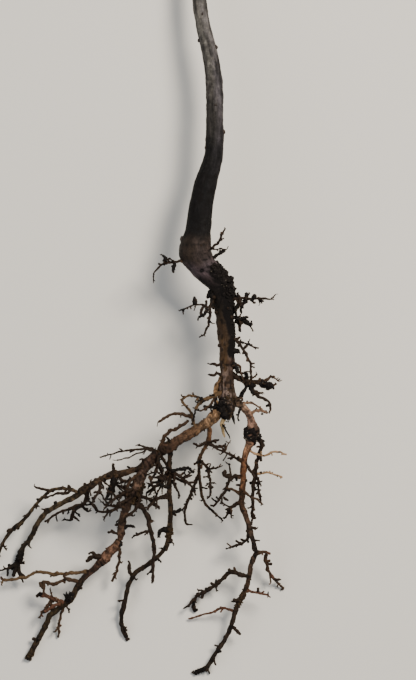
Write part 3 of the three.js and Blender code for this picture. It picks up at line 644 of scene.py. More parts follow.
# A stretch of root bent at short joints, where it swells a little and where its spurs leave it.
def jointed(path, look, rng):
    gone = lengthsAlong(path[:, :3])
    marks = [0.0]
    while marks[-1] < gone[-1]:
        marks.append(marks[-1] + rng.uniform(*look["spacing"]))
    marks = np.array(marks) * gone[-1] / marks[-1]
    joints = np.column_stack([np.interp(marks, gone, path[:, k]) for k in range(4)])
    inner = joints[1:-1]
    inner[:, :3] += rng.uniform(-1, 1, (len(inner), 3)) * look["throw"]
    inner[:, 2] = np.maximum(inner[:, 2], inner[:, 3] + jointShape["offFloor"])
    return joints


def smoothed(at):
    return (at[:-2] + 2 * at[1:-1] + at[2:]) / 4


# The joints as a path with a swelling at each, and a club or a point at its tip.
def strung(joints, look, rng):
    gone = lengthsAlong(joints[:, :3])
    count = max(3, round(gone[-1] / look["ring"]))
    place = np.linspace(0, gone[-1], count + 1)
    path = np.column_stack([np.interp(place, gone, joints[:, k]) for k in range(4)])
    path[1:-1, :3] = smoothed(path[:, :3])
    thick = joints[:, 3].mean()
    tipReach, reach = (jointShape[key][0] * thick + jointShape[key][1] for key in ("tipReach", "reach"))
    swell = rng.uniform(*look["club"]) * hump(place - gone[-1], tipReach)
    for mark in gone[1:-1]:
        swell += rng.uniform(0, 2) * look["knuckle"] * hump(place - mark, reach)
    path[:, 3] *= 1 + swell
    return path


# Roughness of a thin root, in two layers.
def roughen(look, seed):
    layers = ((1, look["roughSize"], seed), (0.5, look["roughSize"] * 0.4, seed + 1))
    return lambda surface, straight, around, share: around * look["rough"] * layered(surface, *layers)


# The colours of fine roots, which are told apart root by root.
skinColours = dict(dark="#21170f", black="#0f0b08", brown="#35261a", reddish="#4a3023", pale="#69513f",
    tan="#4c3a27", straw="#876c50", cream="#806d4e")
skinOrder = list(skinColours)
skinRoughness = 0.72
skins = [makeSkin("fineRoot" + name.capitalize(), colour, skinRoughness)
    for name, colour in skinColours.items()]
darkSkin, blackSkin = skinOrder.index("dark"), skinOrder.index("black")
massSkins = {
    "long_pale": ("tan", "brown"), "right_pale": ("straw",), "right_red": ("reddish",),
    "tip_red": ("reddish", "brown", "dark"), "tip_hanging": ("brown", "reddish"),
    "right_elbow": ("brown", "reddish", "dark"), "right_short": ("reddish", "dark"),
    "crown_right_twig": ("pale", "brown"), "left_wiry": ("tan", "brown"), "left_loop": ("brown", "dark"),
    "crown_left_tangle": ("tan", "brown", "black", "dark"), "crossing": ("dark", "brown"),
    "crown_pale": ("cream", "black"), "lower_hanging": ("brown", "dark"), "curled": ("brown", "dark"),
}
usualSkins = ("dark", "dark", "black", "brown")

# Fine roots: how they bend, and the spurs and nodules that stand on their joints.
fineLook = dict(spacing=(1.6, 3.4), throw=0.42, ring=0.42, knuckle=0.26, club=(-0.1, 0.6), sides=10,
    roughSize=0.9, rough=0.22, spurChance=0.75, spurLength=(0.6, 2.6), spurThick=0.68, longChance=0.3,
    noduleChance=0.14, nodule=(0.45, 0.85), thick=(1, 1))
rootletLook = dict(spacing=(1.0, 2.2), throw=0.3, ring=0.38, knuckle=0.28, club=(0, 0.8), sides=8,
    roughSize=0.7, rough=0.22, spurChance=0.5, spurLength=(0.5, 1.5), spurThick=0.5, longChance=0.0,
    noduleChance=0.08, nodule=(0.35, 0.65))
spurLook = dict(spacing=(0.8, 1.7), throw=0.2, ring=0.32, knuckle=0.22, club=(-0.3, 1.0), sides=6,
    roughSize=0.5, rough=0.22)
# What is different in some of them. `thick` is for the root itself and for its arms.
massLooks = {
    "crown_pale": dict(spurChance=0.1, noduleChance=0, knuckle=0.1, club=(-0.5, -0.3), thick=(1, 0.65)),
    "tip_red": dict(thick=(0.82, 0.8)), "tip_hanging": dict(spurChance=0.4, thick=(0.72, 0.75)),
    "left_wiry": dict(spurChance=0.15, noduleChance=0.02, thick=(1.1, 2.1)),
    "left_loop": dict(spurChance=0.3, noduleChance=0.03, thick=(1.3, 1.3)),
    "knuckle_left": dict(spurChance=0.35, noduleChance=0.03, thick=(0.95, 1.2)),
    "long_pale": dict(spurChance=0.4, noduleChance=0.04),
    "right_pale": dict(spurChance=0.3, noduleChance=0),
    "right_red": dict(spurChance=0.25, noduleChance=0),
    "tangle_near": dict(spurChance=0.45), "tangle_upper": dict(spurChance=0.45),
    "tangle_lower": dict(spurChance=0.45), "tangle_under": dict(spurChance=0.3),
    "lower_hanging": dict(spurChance=0.2, noduleChance=0.03),
    "hanging_left": dict(spurChance=0.35, noduleChance=0.06),
}
# How spurs and nodules are dealt: the numbers of their beta draws, how thick a spur is against its
# root and from foot to tip, and how far out a nodule sits.
spurRule = dict(lean=(-0.2, 0.9), sizes=(1.2, 2.2), more=(0.2, 0.6), widest=0.9, width=(0.65, 1.1),
    ends=(1.1, 0.8), noduleSizes=(1.2, 2), noduleOut=0.6)
boxMargin = dict(tip=0.4, edge=0.3)


# A heading turned back where its tip would leave the box of the solids.
def turnedIn(foot, heading, length):
    tip = foot + heading * (length + boxMargin["tip"])
    outside = (tip < boxLow + boxMargin["edge"]) | (tip > boxHigh - boxMargin["edge"])
    return np.where(outside, -heading, heading)


def addSpur(bag, foot, heading, length, thick, skin, rng):
    tip = foot + turnedIn(foot, heading, length) * length
    tip[2] = max(tip[2], thick + boxLow[2])
    ends = [thick * share for share in spurRule["ends"]]
    joints = jointed(np.array([[*foot, ends[0]], [*tip, ends[1]]]), spurLook, rng)
    addTube(bag, rounded(strung(joints, spurLook, rng)), spurLook["sides"], skin, roughen(spurLook, 5))


def addSpurs(bag, joints, look, order, reach, rng):
    side, tangent, across = framesOf(joints[:, :3])
    for i in range(1, len(joints)):
        turn, lean = rng.uniform(0, 2 * math.pi), rng.uniform(*spurRule["lean"])
        heading = unit(math.cos(turn) * side[i] + math.sin(turn) * across[i] + lean * tangent[i])
        foot, thick = joints[i, :3].copy(), joints[i, 3]
        if rng.random() < look["spurChance"]:
            length = thick + blend(*look["spurLength"], rng.beta(*spurRule["sizes"]))
            if rng.random() < look["longChance"]:
                length += reach * rng.uniform(*spurRule["more"])
            width = min(look["spurThick"], thick * spurRule["widest"]) * rng.uniform(*spurRule["width"])
            addSpur(bag, foot, heading, length, width, order[rng.integers(len(order))], rng)
        if rng.random() < look["noduleChance"]:
            size = blend(*look["nodule"], rng.beta(*spurRule["noduleSizes"]))
            out = unit(rng.normal(size=3)) * thick * spurRule["noduleOut"]
            addLump(bag, foot + out, size, 2, rng.integers(999), blackSkin)


def addFineRoot(bag, path, look, order, reach, rng):
    joints = jointed(path, look, rng)
    addTube(bag, rounded(strung(joints, look, rng)), look["sides"], order[0], roughen(look, 2))
    addSpurs(bag, joints, look, order, reach, rng)


rootletTaper = 0.65
# Where the random draws of each piece start. Limbs and groups of fine roots add their own number.
seeds = dict(trunk=4, limb=100, fineRoots=300, shortRoots=77, soil=8)


# A node's rootlets, each from its foot and its tip.
def addRootlets(bag, node, order, rng):
    for at, tip in node["rootlets"]:
        tip[3] = at[3] * rootletTaper
        addFineRoot(bag, np.array([at, tip]), rootletLook, order, 0, rng)


print("drawing tools ready")

# Trunk: one length of wood from the root crown to the terminal bud.
trunkLook = dict(ring=0.45, sides=72, smoothings=12, nubs=22, nubSpan=(-36, 50), nubLean=(-0.8, 0.3),
    nubLength=(0.4, 1.6), nubThick=(0.4, 0.75))
trunkPath = pathOf([*taprootStations[::-1], *stemStations[1:]], trunkLook["ring"])
for turn in range(trunkLook["smoothings"]):
    trunkPath[1:-1, :3] = smoothed(trunkPath[:, :3])
drawn = {"trunk": trunkPath}

# How much soil clings to the trunk's left and right side, by the place up the plant.
trunkSoil = dict(
    left=((-40, 0.75), (-34, 0.8), (-29, 0.45), (-24, 0.2), (-10, 0.15), (6, 0.2), (14, 0.35),
        (22, 0.6), (27, 0.35), (32, 0.22), (44, 0.22), (50, 0.3), (53, 0.5), (84, 0.5), (110, 0.3),
        (135, 0.2), (170, 0.1)),
    right=((-40, 0.65), (-35, 0.5), (-30, 0.35), (-24, 0.25), (-12, 0.18), (-9, 0.5), (-6, 0.85),
        (10, 0.9), (24, 1.0), (33, 1.0), (37, 0.5), (41, 0.25), (50, 0.25), (53, 0.45), (80, 0.45),
        (105, 0.2), (130, 0.05)),
)
# Tints of the trunk's left and right side, by the place up the plant: partly the bark's own colour and
# soil, and partly painted light, as the upper stem's right side is painted lighter where light from the
# right falls on it.
trunkTints = dict(
    left=((-40, "#241912"), (-34, "#33261c"), (-28, "#37281f"), (-20, "#3c2c1f"), (-12, "#42301f"),
        (-4, "#45321f"), (6, "#38291b"), (14, "#1e170f"), (24, "#17120f"), (30, "#2a2120"),
        (36, "#463a3c"), (41, "#2c231c"), (48, "#1f1813"), (51.5, "#17120f"), (55, "#0d0b0b"),
        (84, "#0e0c0c"), (98, "#1a1816"), (112, "#2a2724"), (125, "#3b3733"), (138, "#4a4742"),
        (150, "#4b4843"), (172, "#56524c"), (300, "#585048"), (400, "#4e4138")),
    right=((-40, "#211811"), (-34, "#33271d"), (-28, "#33281f"), (-22, "#382b22"), (-16, "#38281f"),
        (-11, "#33231b"), (-8, "#17120d"), (4, "#0f0d0a"), (14, "#0e0c0a"), (31, "#0e0b0a"),
        (34, "#423739"), (38, "#4e4346"), (44, "#312928"), (49, "#2b231f"), (52, "#17120f"),
        (55, "#0e0c0c"), (84, "#121011"), (98, "#272426"), (112, "#3d393b"), (125, "#433f41"),
        (138, "#474344"), (150, "#585453"), (172, "#5c5856"), (300, "#5c524a"), (400, "#52453c")),
)
# Relief in layers of noise, each with its amount, size and seed: coarse and scaly in the ground,
# smooth with low ridges above it.
trunkRelief = dict(swell=((0.34, 6.5, 11), (0.3, 2.7, 12)), grain=((0.13, 1.1, 13), (0.06, 0.5, 15)),
    ridges=((1.2, 9, 1.2), 14))
# The pits are dents in the relief and darken the tint as well: painted shade in the pits.
trunkMarks = dict(pits=((0.9, 2.6, 0.9), 33, 0.2, 0.2), flakes=((1.3, 2.6, 1.3), 17, 0.1, 0.2),
    streaks=((1.5, 11, 1.5), 24, -0.05, 0.4), lichen=(1.3, 28, 0.3, 0.3), spots=(1.5, 27, 0.4, 0.15),
    specks=(0.9, 29, 0.25, 0.15))
trunkScales = ((1.3, 2.6, 1.3), 17, 0.1, 0.15)
# How strong the relief and the marks are, by the place up the plant.
reliefStrength = dict(
    coarse=((-40, 1.3), (-20, 1.1), (20, 0.9), (40, 0.8), (60, 0.5), (100, 0.6), (400, 0.35)),
    ridges=((70, 0.17), (110, 0.26), (250, 0.17)), pits=((84, 0), (110, 0.16), (250, 0.06)),
    scales=((-30, 0.35), (-10, 0.15), (10, 0)),
)
markStrength = dict(
    pits=((84, 0), (110, 0.32), (250, 0.2)), streaks=((40, 0.2), (95, 0.6), (200, 0.6), (400, 0.4)),
    flakes=((-36, 0.4), (-30, 0.7), (-22, 0.7), (-14, 0.3), (10, 0)), spots=((40, 0.7), (60, 0.25)),
    lichen=((110, 0), (150, 0.4), (260, 0.15)), specks=((-22, 0.85), (-12, 0)),
)
# Painted shade: the trunk's tint is darkened where its skin faces down.
trunkPaintedShade = ((0, 0.7), (0.7, 1))  # by how far a point faces up
# Where the tints of the two sides meet, and how noise moves that edge, the tints and their strength.
trunkTone = dict(middle=0.06, sharpness=1.5, edge=(0.5, 4, 21), wander=(4, 8, 22), mottle=(0.4, 2.4, 23))
flakeColour, lichenColour = (np.array(linear(colour)[:3]) for colour in ("#74635a", "#7b766d"))
# Round marks on the crook's upper face, where older growth left it: their place in the plan, their
# radius and how far they stand out.
# Their heights also lighten and darken the tint: a painted highlight on the rims and painted shade in
# the pit.
crookMarks = ((-8.2, 47.4, 3.7, 0.32), (-8, 47, 1.9, 0.26), (-9.1, 34.6, 0.6, -0.7),
    (-13.6, 42, 2.6, 0.14))
# `tint` is how strongly the marks' heights are painted into the colour as highlight and shade.
crookLook = dict(width=0.55, wander=0.3, wanderSize=2, tint=1.6)


# How strongly the round marks show at each point of the upper face.
def crookMarking(surface, up):
    total = np.zeros(len(surface))
    wander = crookLook["wander"] * noiseAt(surface, crookLook["wanderSize"], 26)
    for x, y, radius, height in crookMarks:
        away = np.hypot(surface[:, 0] - x, surface[:, 1] - y) + wander
        total += height * hump(away - radius, crookLook["width"])
    return total * np.clip(2 * up, 0, 1)


def trunkLift(surface, straight, around, share):
    coarse, ridges, pits, scales = (along(stops, surface[:, 1]) for stops in reliefStrength.values())
    relief = coarse * (layered(surface, *trunkRelief["swell"]) + layered(surface, *trunkRelief["grain"]))
    relief += ridges * noiseAt(straight, *trunkRelief["ridges"])
    relief += scales * patchy(straight, *trunkScales) - pits * patchy(straight, *trunkMarks["pits"])
    return relief + crookMarking(surface, straight[:, 0] / around)


def trunkPaint(surface, straight, spoke, share):
    y, across, up = surface[:, 1], spoke[:, 0], spoke[:, 2]
    marks = {name: (mark * along(markStrength[name], y))[:, None]
        for name, mark in marksOn(surface, straight, trunkMarks).items()}
    rightness = 0.5 + trunkTone["sharpness"] * (across - trunkTone["middle"])
    rightness = np.clip(rightness + layered(surface, trunkTone["edge"]), 0, 1)
    wander = y + layered(surface, trunkTone["wander"])
    sides = "left", "right"
    # the side tints hold painted light as well as the bark's colour: the upper stem's right side is
    # painted lighter
    tint = blend(*(tintAt(trunkTints[side], wander) for side in sides), rightness[:, None])
    tint = blend(tint, flakeColour, marks["flakes"])
    tint = blend(tint, lichenColour, marks["lichen"])
    # the pits are darkened where the relief sinks them in, painted shade; the streaks are the bark's own
    # dark streaks
    tint *= (1 - marks["pits"]) * (1 - marks["streaks"])
    tint *= 1 - np.maximum(marks["spots"], marks["specks"])
    # painted highlight on the raised rims of the crook's marks, and painted shade in its pit
    tint *= (1 + crookLook["tint"] * crookMarking(surface, up))[:, None]
    # painted shade where the skin faces down, times the wood's own mottle
    tint *= (along(trunkPaintedShade, up) * (1 + layered(surface, trunkTone["mottle"])))[:, None]
    return tint, blend(*(along(trunkSoil[side], y) for side in sides), rightness)


youngBark = makeBark(dict(name="youngBarkSoiled", streakScale=(1.5, 0.15, 1.5), streakDark=0.6,
    fleck=0.8, fleckContrast=0.3, fleckRelief=0.7, grime=2.4, soilColour="#0d0a09", roughness=0.68,
    soilRoughness=0.9, bump=0.9, bumpDepth=0.4, specular=0.14))
rootBark = makeBark(dict(name="rootBarkSoiled", streakScale=(1.3, 0.35, 1.3), streakDark=0.5,
    fleck=0.9, fleckContrast=0.5, fleckRelief=0.9, grime=1.8, soilColour="#120d0a", roughness=0.72,
    soilRoughness=0.9, bump=1.0, bumpDepth=0.5, specular=0.16))

# Buds: their scales close to a point a little off the twig. `over` counts the rings at a shoot's end
# that its last bud follows.
budLook = dict(ring=0.3, sides=9, width=0.8, sunk=0.75, relief=(0.12, 0.7, 31),
    profile=((0, 0.6), (0.3, 1.0), (0.6, 0.85), (1, 0.14)),
    tint=((0, "#3b2e27"), (0.5, "#472f26"), (1, "#291b16")))
trunkEndBud = dict(over=2, sunk=1.4, length=3.6, width=1.1)
twigEndBud = dict(over=3, sunk=1.4, length=3.4, width=0.9)


def paintAlong(tints):
    return lambda surface, straight, spoke, share: (tintAt(tints, share), share * 0)


def addBud(bag, foot, heading, length, width):
    share = np.linspace(0, 1, max(5, round(length / budLook["ring"])))
    radius = width * along(budLook["profile"], share)
    path = np.column_stack([foot + np.outer(share * length, heading), radius])
    lift = lambda surface, straight, around, share: around * layered(surface, budLook["relief"])
    addTube(bag, path, budLook["sides"], 0, lift, paintAlong(budLook["tint"]))


def addBuds(bag, node):
    for at, tip in node["rootlets"]:
        heading = unit(tip[:3] - at[:3])
        sunk = budLook["sunk"] * at[3] / node["kind"]["foot"]
        reach = np.linalg.norm(tip[:3] - at[:3])
        addBud(bag, at[:3] + heading * sunk, heading, reach - sunk, budLook["width"])


def addEndBud(bag, path, look):
    heading = unit(path[-1, :3] - path[-1 - look["over"], :3])
    addBud(bag, path[-1, :3] - heading * look["sunk"], heading, look["length"], look["width"])


# Old bud scars on the stem: how far up, on which side in degrees from the right, and their size.
scars = ((151, 175, 0.9), (146, 20, 1.1), (137, 50, 0.5), (128, 150, 0.6), (117, 85, 0.6),
    (104, 8, 1.0), (96, 165, 0.8), (163, 80, 0.6), (181, 40, 0.8), (206, 140, 0.8), (236, 60, 0.7),
    (49, 176, 1.3), (34.5, 205, 0.9))
scarLook = dict(detail=3, rough=0.3, tint="#332c28", soil=0.3)
scarSunk = 0.25


# The way out of a path at one of its rows, in degrees from the right and square to the path.
def wayOut(degrees, tangent):
    out = np.array([math.cos(math.radians(degrees)), 0, math.sin(math.radians(degrees))])
    return unit(out - tangent * out.dot(tangent))


def rowAt(y):
    return np.abs(trunkPath[:, 1] - y).argmin()


rng = np.random.default_rng(seeds["trunk"])
trunkBag = newBag()
addTube(trunkBag, rounded(trunkPath), trunkLook["sides"], 0, trunkLift, trunkPaint)
addBuds(trunkBag, grown["stem"])
addEndBud(trunkBag, trunkPath, trunkEndBud)
for number, (y, degrees, size) in enumerate(scars):
    row = rowAt(y)
    out = wayOut(degrees, unit(trunkPath[row + 1, :3] - trunkPath[row - 1, :3]))
    place = trunkPath[row, :3] + out * (trunkPath[row, 3] - scarSunk * size)
    addLump(trunkBag, place, size, seed=number, **scarLook)
for y in np.sort(rng.uniform(*trunkLook["nubSpan"], trunkLook["nubs"])):
    at = trunkPath[rowAt(y)]
    turn = rng.uniform(0, 2 * math.pi)
    heading = unit(np.array([math.cos(turn), rng.uniform(*trunkLook["nubLean"]), math.sin(turn)]))
    length = at[3] + rng.uniform(*trunkLook["nubLength"])
    thick = rng.uniform(*trunkLook["nubThick"])
    addSpur(trunkBag, at[:3].copy(), heading, length, thick, 1 + darkSkin, rng)
makePiece("trunk", trunkBag, [youngBark, *skins], ["stem", "taproot"])

# Woody roots. Their tints run from foot to tip, and `limbSpurs` says how many joints bear a spur.
limbLook = dict(spacing=(2.6, 5.2), throw=0.3, ring=0.45, knuckle=0.07, club=(-0.1, 0.15), sides=24,
    armSides=12, spurLength=(0.4, 2.2), spurThick=0.8, spurReach=4, longChance=0.2, nodule=(0.5, 1.1))
limbSpurSkins = [1 + darkSkin, 1 + blackSkin, 1 + darkSkin]
limbTints = {
    "left_root": ((0, "#94755b"), (0.12, "#967353"), (0.3, "#83664b"), (0.42, "#5f4732"),
        (0.52, "#523c2a"), (0.65, "#4b3728"), (0.8, "#443023"), (1, "#3a291f")),
    "left_lower_root": ((0, "#3a291f"), (0.2, "#4e3b30"), (0.35, "#654e40"), (0.55, "#3b2c22"),
        (0.85, "#4b382b"), (1, "#5d4433")),
    "left_lower_root_end": ((0, "#5d4433"), (0.12, "#70513f"), (0.22, "#4c362a"), (0.3, "#34261c"),
        (0.55, "#332817"), (1, "#302416")),
    "left_outer_root": ((0, "#443223"), (1, "#4b3a28")),
    "left_outer_root_upper": ((0, "#54432f"), (0.4, "#463825"), (1, "#30251a")),
    "left_outer_root_lower": ((0, "#52432f"), (0.45, "#4d3f2d"), (0.75, "#34291c"), (1, "#1b150e")),
    "right_root": ((0, "#58473a"), (0.08, "#7d6552"), (0.13, "#94745f"), (0.2, "#997663"),
        (0.36, "#826048"), (0.5, "#69432a"), (0.62, "#5a3f2c"), (0.8, "#392a20"), (1, "#32261c")),
    "right_root_end": ((0, "#3b2d23"), (0.3, "#4f3927"), (0.4, "#31241a"), (1, "#241c13")),
    "side_root": ((0, "#705741"), (0.4, "#93714f"), (1, "#bb976f")),
    "middle_root": ((0, "#6b4a30"), (0.4, "#4a3522"), (1, "#2c2015")),
    "inner_root": ((0, "#332519"), (0.5, "#35281a"), (1, "#271c13")),
}
limbSoil = {
    "left_root": ((0, 0.35), (0.12, 0.1), (0.5, 0.15), (0.8, 0.35), (1, 0.45)),
    "left_lower_root": ((0, 0.4), (0.5, 0.3), (1, 0.2)),
    "left_lower_root_end": ((0, 0.2), (0.15, 0.1), (0.35, 0.4), (1, 0.4)),
    "right_root": ((0, 0.3), (0.12, 0.25), (0.2, 0.15), (0.26, 0.6), (0.33, 0.5), (0.36, 0.12),
        (0.7, 0.12), (1, 0.3)),
    "side_root": ((0, 0.3), (0.5, 0.2), (1, 0.05)),
}
usualSoil = ((0, 0.4), (1, 0.45))
# How far the end of a root sinks into the one that it grows on to, and how late it does so.
limbSinks = dict(side_root=1.9, left_lower_root_end=0.45, right_root_end=0.3, inner_root=0.25)
sinkPower = 4
# How thick a root is along its length, as a share of the solid.
limbGirths = dict(
    left_lower_root_end=((0, 1), (0.14, 1), (0.25, 0.84), (0.35, 0.8), (0.55, 0.82), (0.65, 0.94),
        (1, 1)),
    left_outer_root=((0, 1), (0.15, 0.88), (0.5, 0.84), (1, 0.95)),
    right_root=((0, 1), (0.08, 0.92), (0.15, 0.84), (0.22, 0.84), (0.27, 1), (1, 1)),
)
usualSpurs = 0.3
limbSpurs = dict(left_root=0.25, left_lower_root=0.6, left_lower_root_end=0.55, left_outer_root=0.6,
    right_root=0.4)
# Bark relief, the marks in the bark, and how dark or pale each of them is. The creases are dents in the
# relief and are darkened too: painted shade.
limbRelief = dict(swell=((0.17, 3.2, 41), (0.17, 1.5, 42), (0.1, 0.7, 43)),
    ridges=(0.12, (0.8, 4, 0.8), 44), crease=0.16, byThickness=0.65)
limbMarks = dict(pale=((1.1, 2.6, 1.1), 48, 0.15, 0.25), crease=((2.2, 0.7, 2.2), 49, 0.35, 0.2),
    patches=(2.4, 47, 0.1, 0.25), blots=(1.1, 50, 0.25, 0.2), specks=(0.8, 53, 0.3, 0.15))
limbStrength = dict(pale=0.45, crease=0.5, patches=0.6, blots=0.5, specks=0.65)
speckFall = ((0, 1), (0.5, 0.8), (0.8, 0.4))
limbTone = dict(wander=(0.04, 5, 45), mottle=(0.35, 1.3, 46))
# Painted shade: a woody root's tint is darker where its skin faces down, by how far it faces up.
limbPaintedShade = ((-0.1, 0.5), (0.75, 1))
drawStep = 1.0


def limbLift(surface, straight, around, share):
    ridges = layered(straight, limbRelief["ridges"])
    crease = limbRelief["crease"] * patchy(straight, *limbMarks["crease"])
    strength = blend(1, around, limbRelief["byThickness"])
    return strength * (layered(surface, *limbRelief["swell"]) + ridges - crease)


def drawLimb(name, number):
    node = grown[name]
    rng = np.random.default_rng(seeds["limb"] + number)
    bag = newBag()
    parent = grown[node["on"]]["paths"][0]
    chance = limbSpurs.get(name, usualSpurs)
    look = dict(limbLook, spurChance=chance, noduleChance=chance)

    def paint(surface, straight, spoke, share):
        wander = np.clip((share if i == 0 else 1) + layered(surface, limbTone["wander"]), 0, 1)
        marks = marksOn(surface, straight, limbMarks)
        pale, crease, patches, blots, specks = (marks[mark] * limbStrength[mark] for mark in marks)
        light = 1 + layered(surface, limbTone["mottle"]) + pale
        # darker in the creases, which the relief dents: painted shade
        light *= (1 - patches) * (1 - blots) * (1 - crease) * (1 - specks * along(speckFall, share))
        # the tint is darkened where the skin faces down: painted shade
        tint = tintAt(limbTints[name], wander) * (light * along(limbPaintedShade, spoke[:, 2]))[:, None]
        return tint, along(limbSoil.get(name, usualSoil), share)

    for i, stations in enumerate(node["stations"]):
        path = pathOf(stations, drawStep)
        path[:, 2] -= limbSinks.get(name, 0) * np.linspace(0, 1, len(path)) ** sinkPower
        joint = np.linalg.norm(parent[:, :3] - path[0, :3], axis=1).argmin()
        foot = parent[joint, 3] if i == 0 and joint < len(parent) - 2 else 0
        joints = jointed(swollen(path, node["knots"] if i == 0 else (), foot), look, rng)
        path = strung(joints, look, rng)
        if i == 0 and name in limbGirths:
            gone = lengthsAlong(path[:, :3])
            path[:, 3] *= along(limbGirths[name], gone / gone[-1])
        addTube(bag, rounded(path), look["sides" if i == 0 else "armSides"], 0, limbLift, paint)
        addSpurs(bag, joints[1:], look, limbSpurSkins, look["spurReach"], rng)
        if i == 0:
            drawn[name] = path
    addRootlets(bag, node, limbSpurSkins[:2], rng)
    makePiece(name + "_bark", bag, [rootBark, *skins], [name])


for number, name in enumerate(limbs):
    drawLimb(name, number)
print("woody roots drawn")

# Fine roots apart by kind: the pale ones, and the dark ones by the root that they hang from.
paleRoots = ["long_pale", "right_pale", "crown_pale", "crown_right_twig"]
groups = {
    "crownFineRoots": ("crook", "taproot", "crown"),
    "leftFineRoots": ("left", "knuckle", "outer", "lower", "curled", "tip", "hanging"),
    "middleFineRoots": ("tangle", "bridge", "middle", "crossing"),
    "rightFineRoots": ("right",),
}
memberNames = {group: [name for name in masses if name.split("_")[0] in starts and name not in paleRoots]
    for group, starts in groups.items()}
memberNames["paleFineRoots"] = paleRoots
for groupNumber, (groupName, members) in enumerate(memberNames.items()):
    bag = newBag()
    rng = np.random.default_rng(seeds["fineRoots"] + groupNumber)
    for name in members:
        node = grown[name]
        order = [skinOrder.index(skin) for skin in massSkins.get(name, usualSkins)]
        look = dict(fineLook, **massLooks.get(name, {}))
        for i, stations in enumerate(node["stations"]):
            path = pathOf(stations, drawStep)
            path[:, 3] *= look["thick"][min(i, 1)]
            if i:
                order = order[1:] + order[:1]
            addFineRoot(bag, path, look, order, node["reach"], rng)
            if i == 0:
                drawn[name] = path
        addRootlets(bag, node, order, rng)
    makePiece(groupName, bag, skins, members)

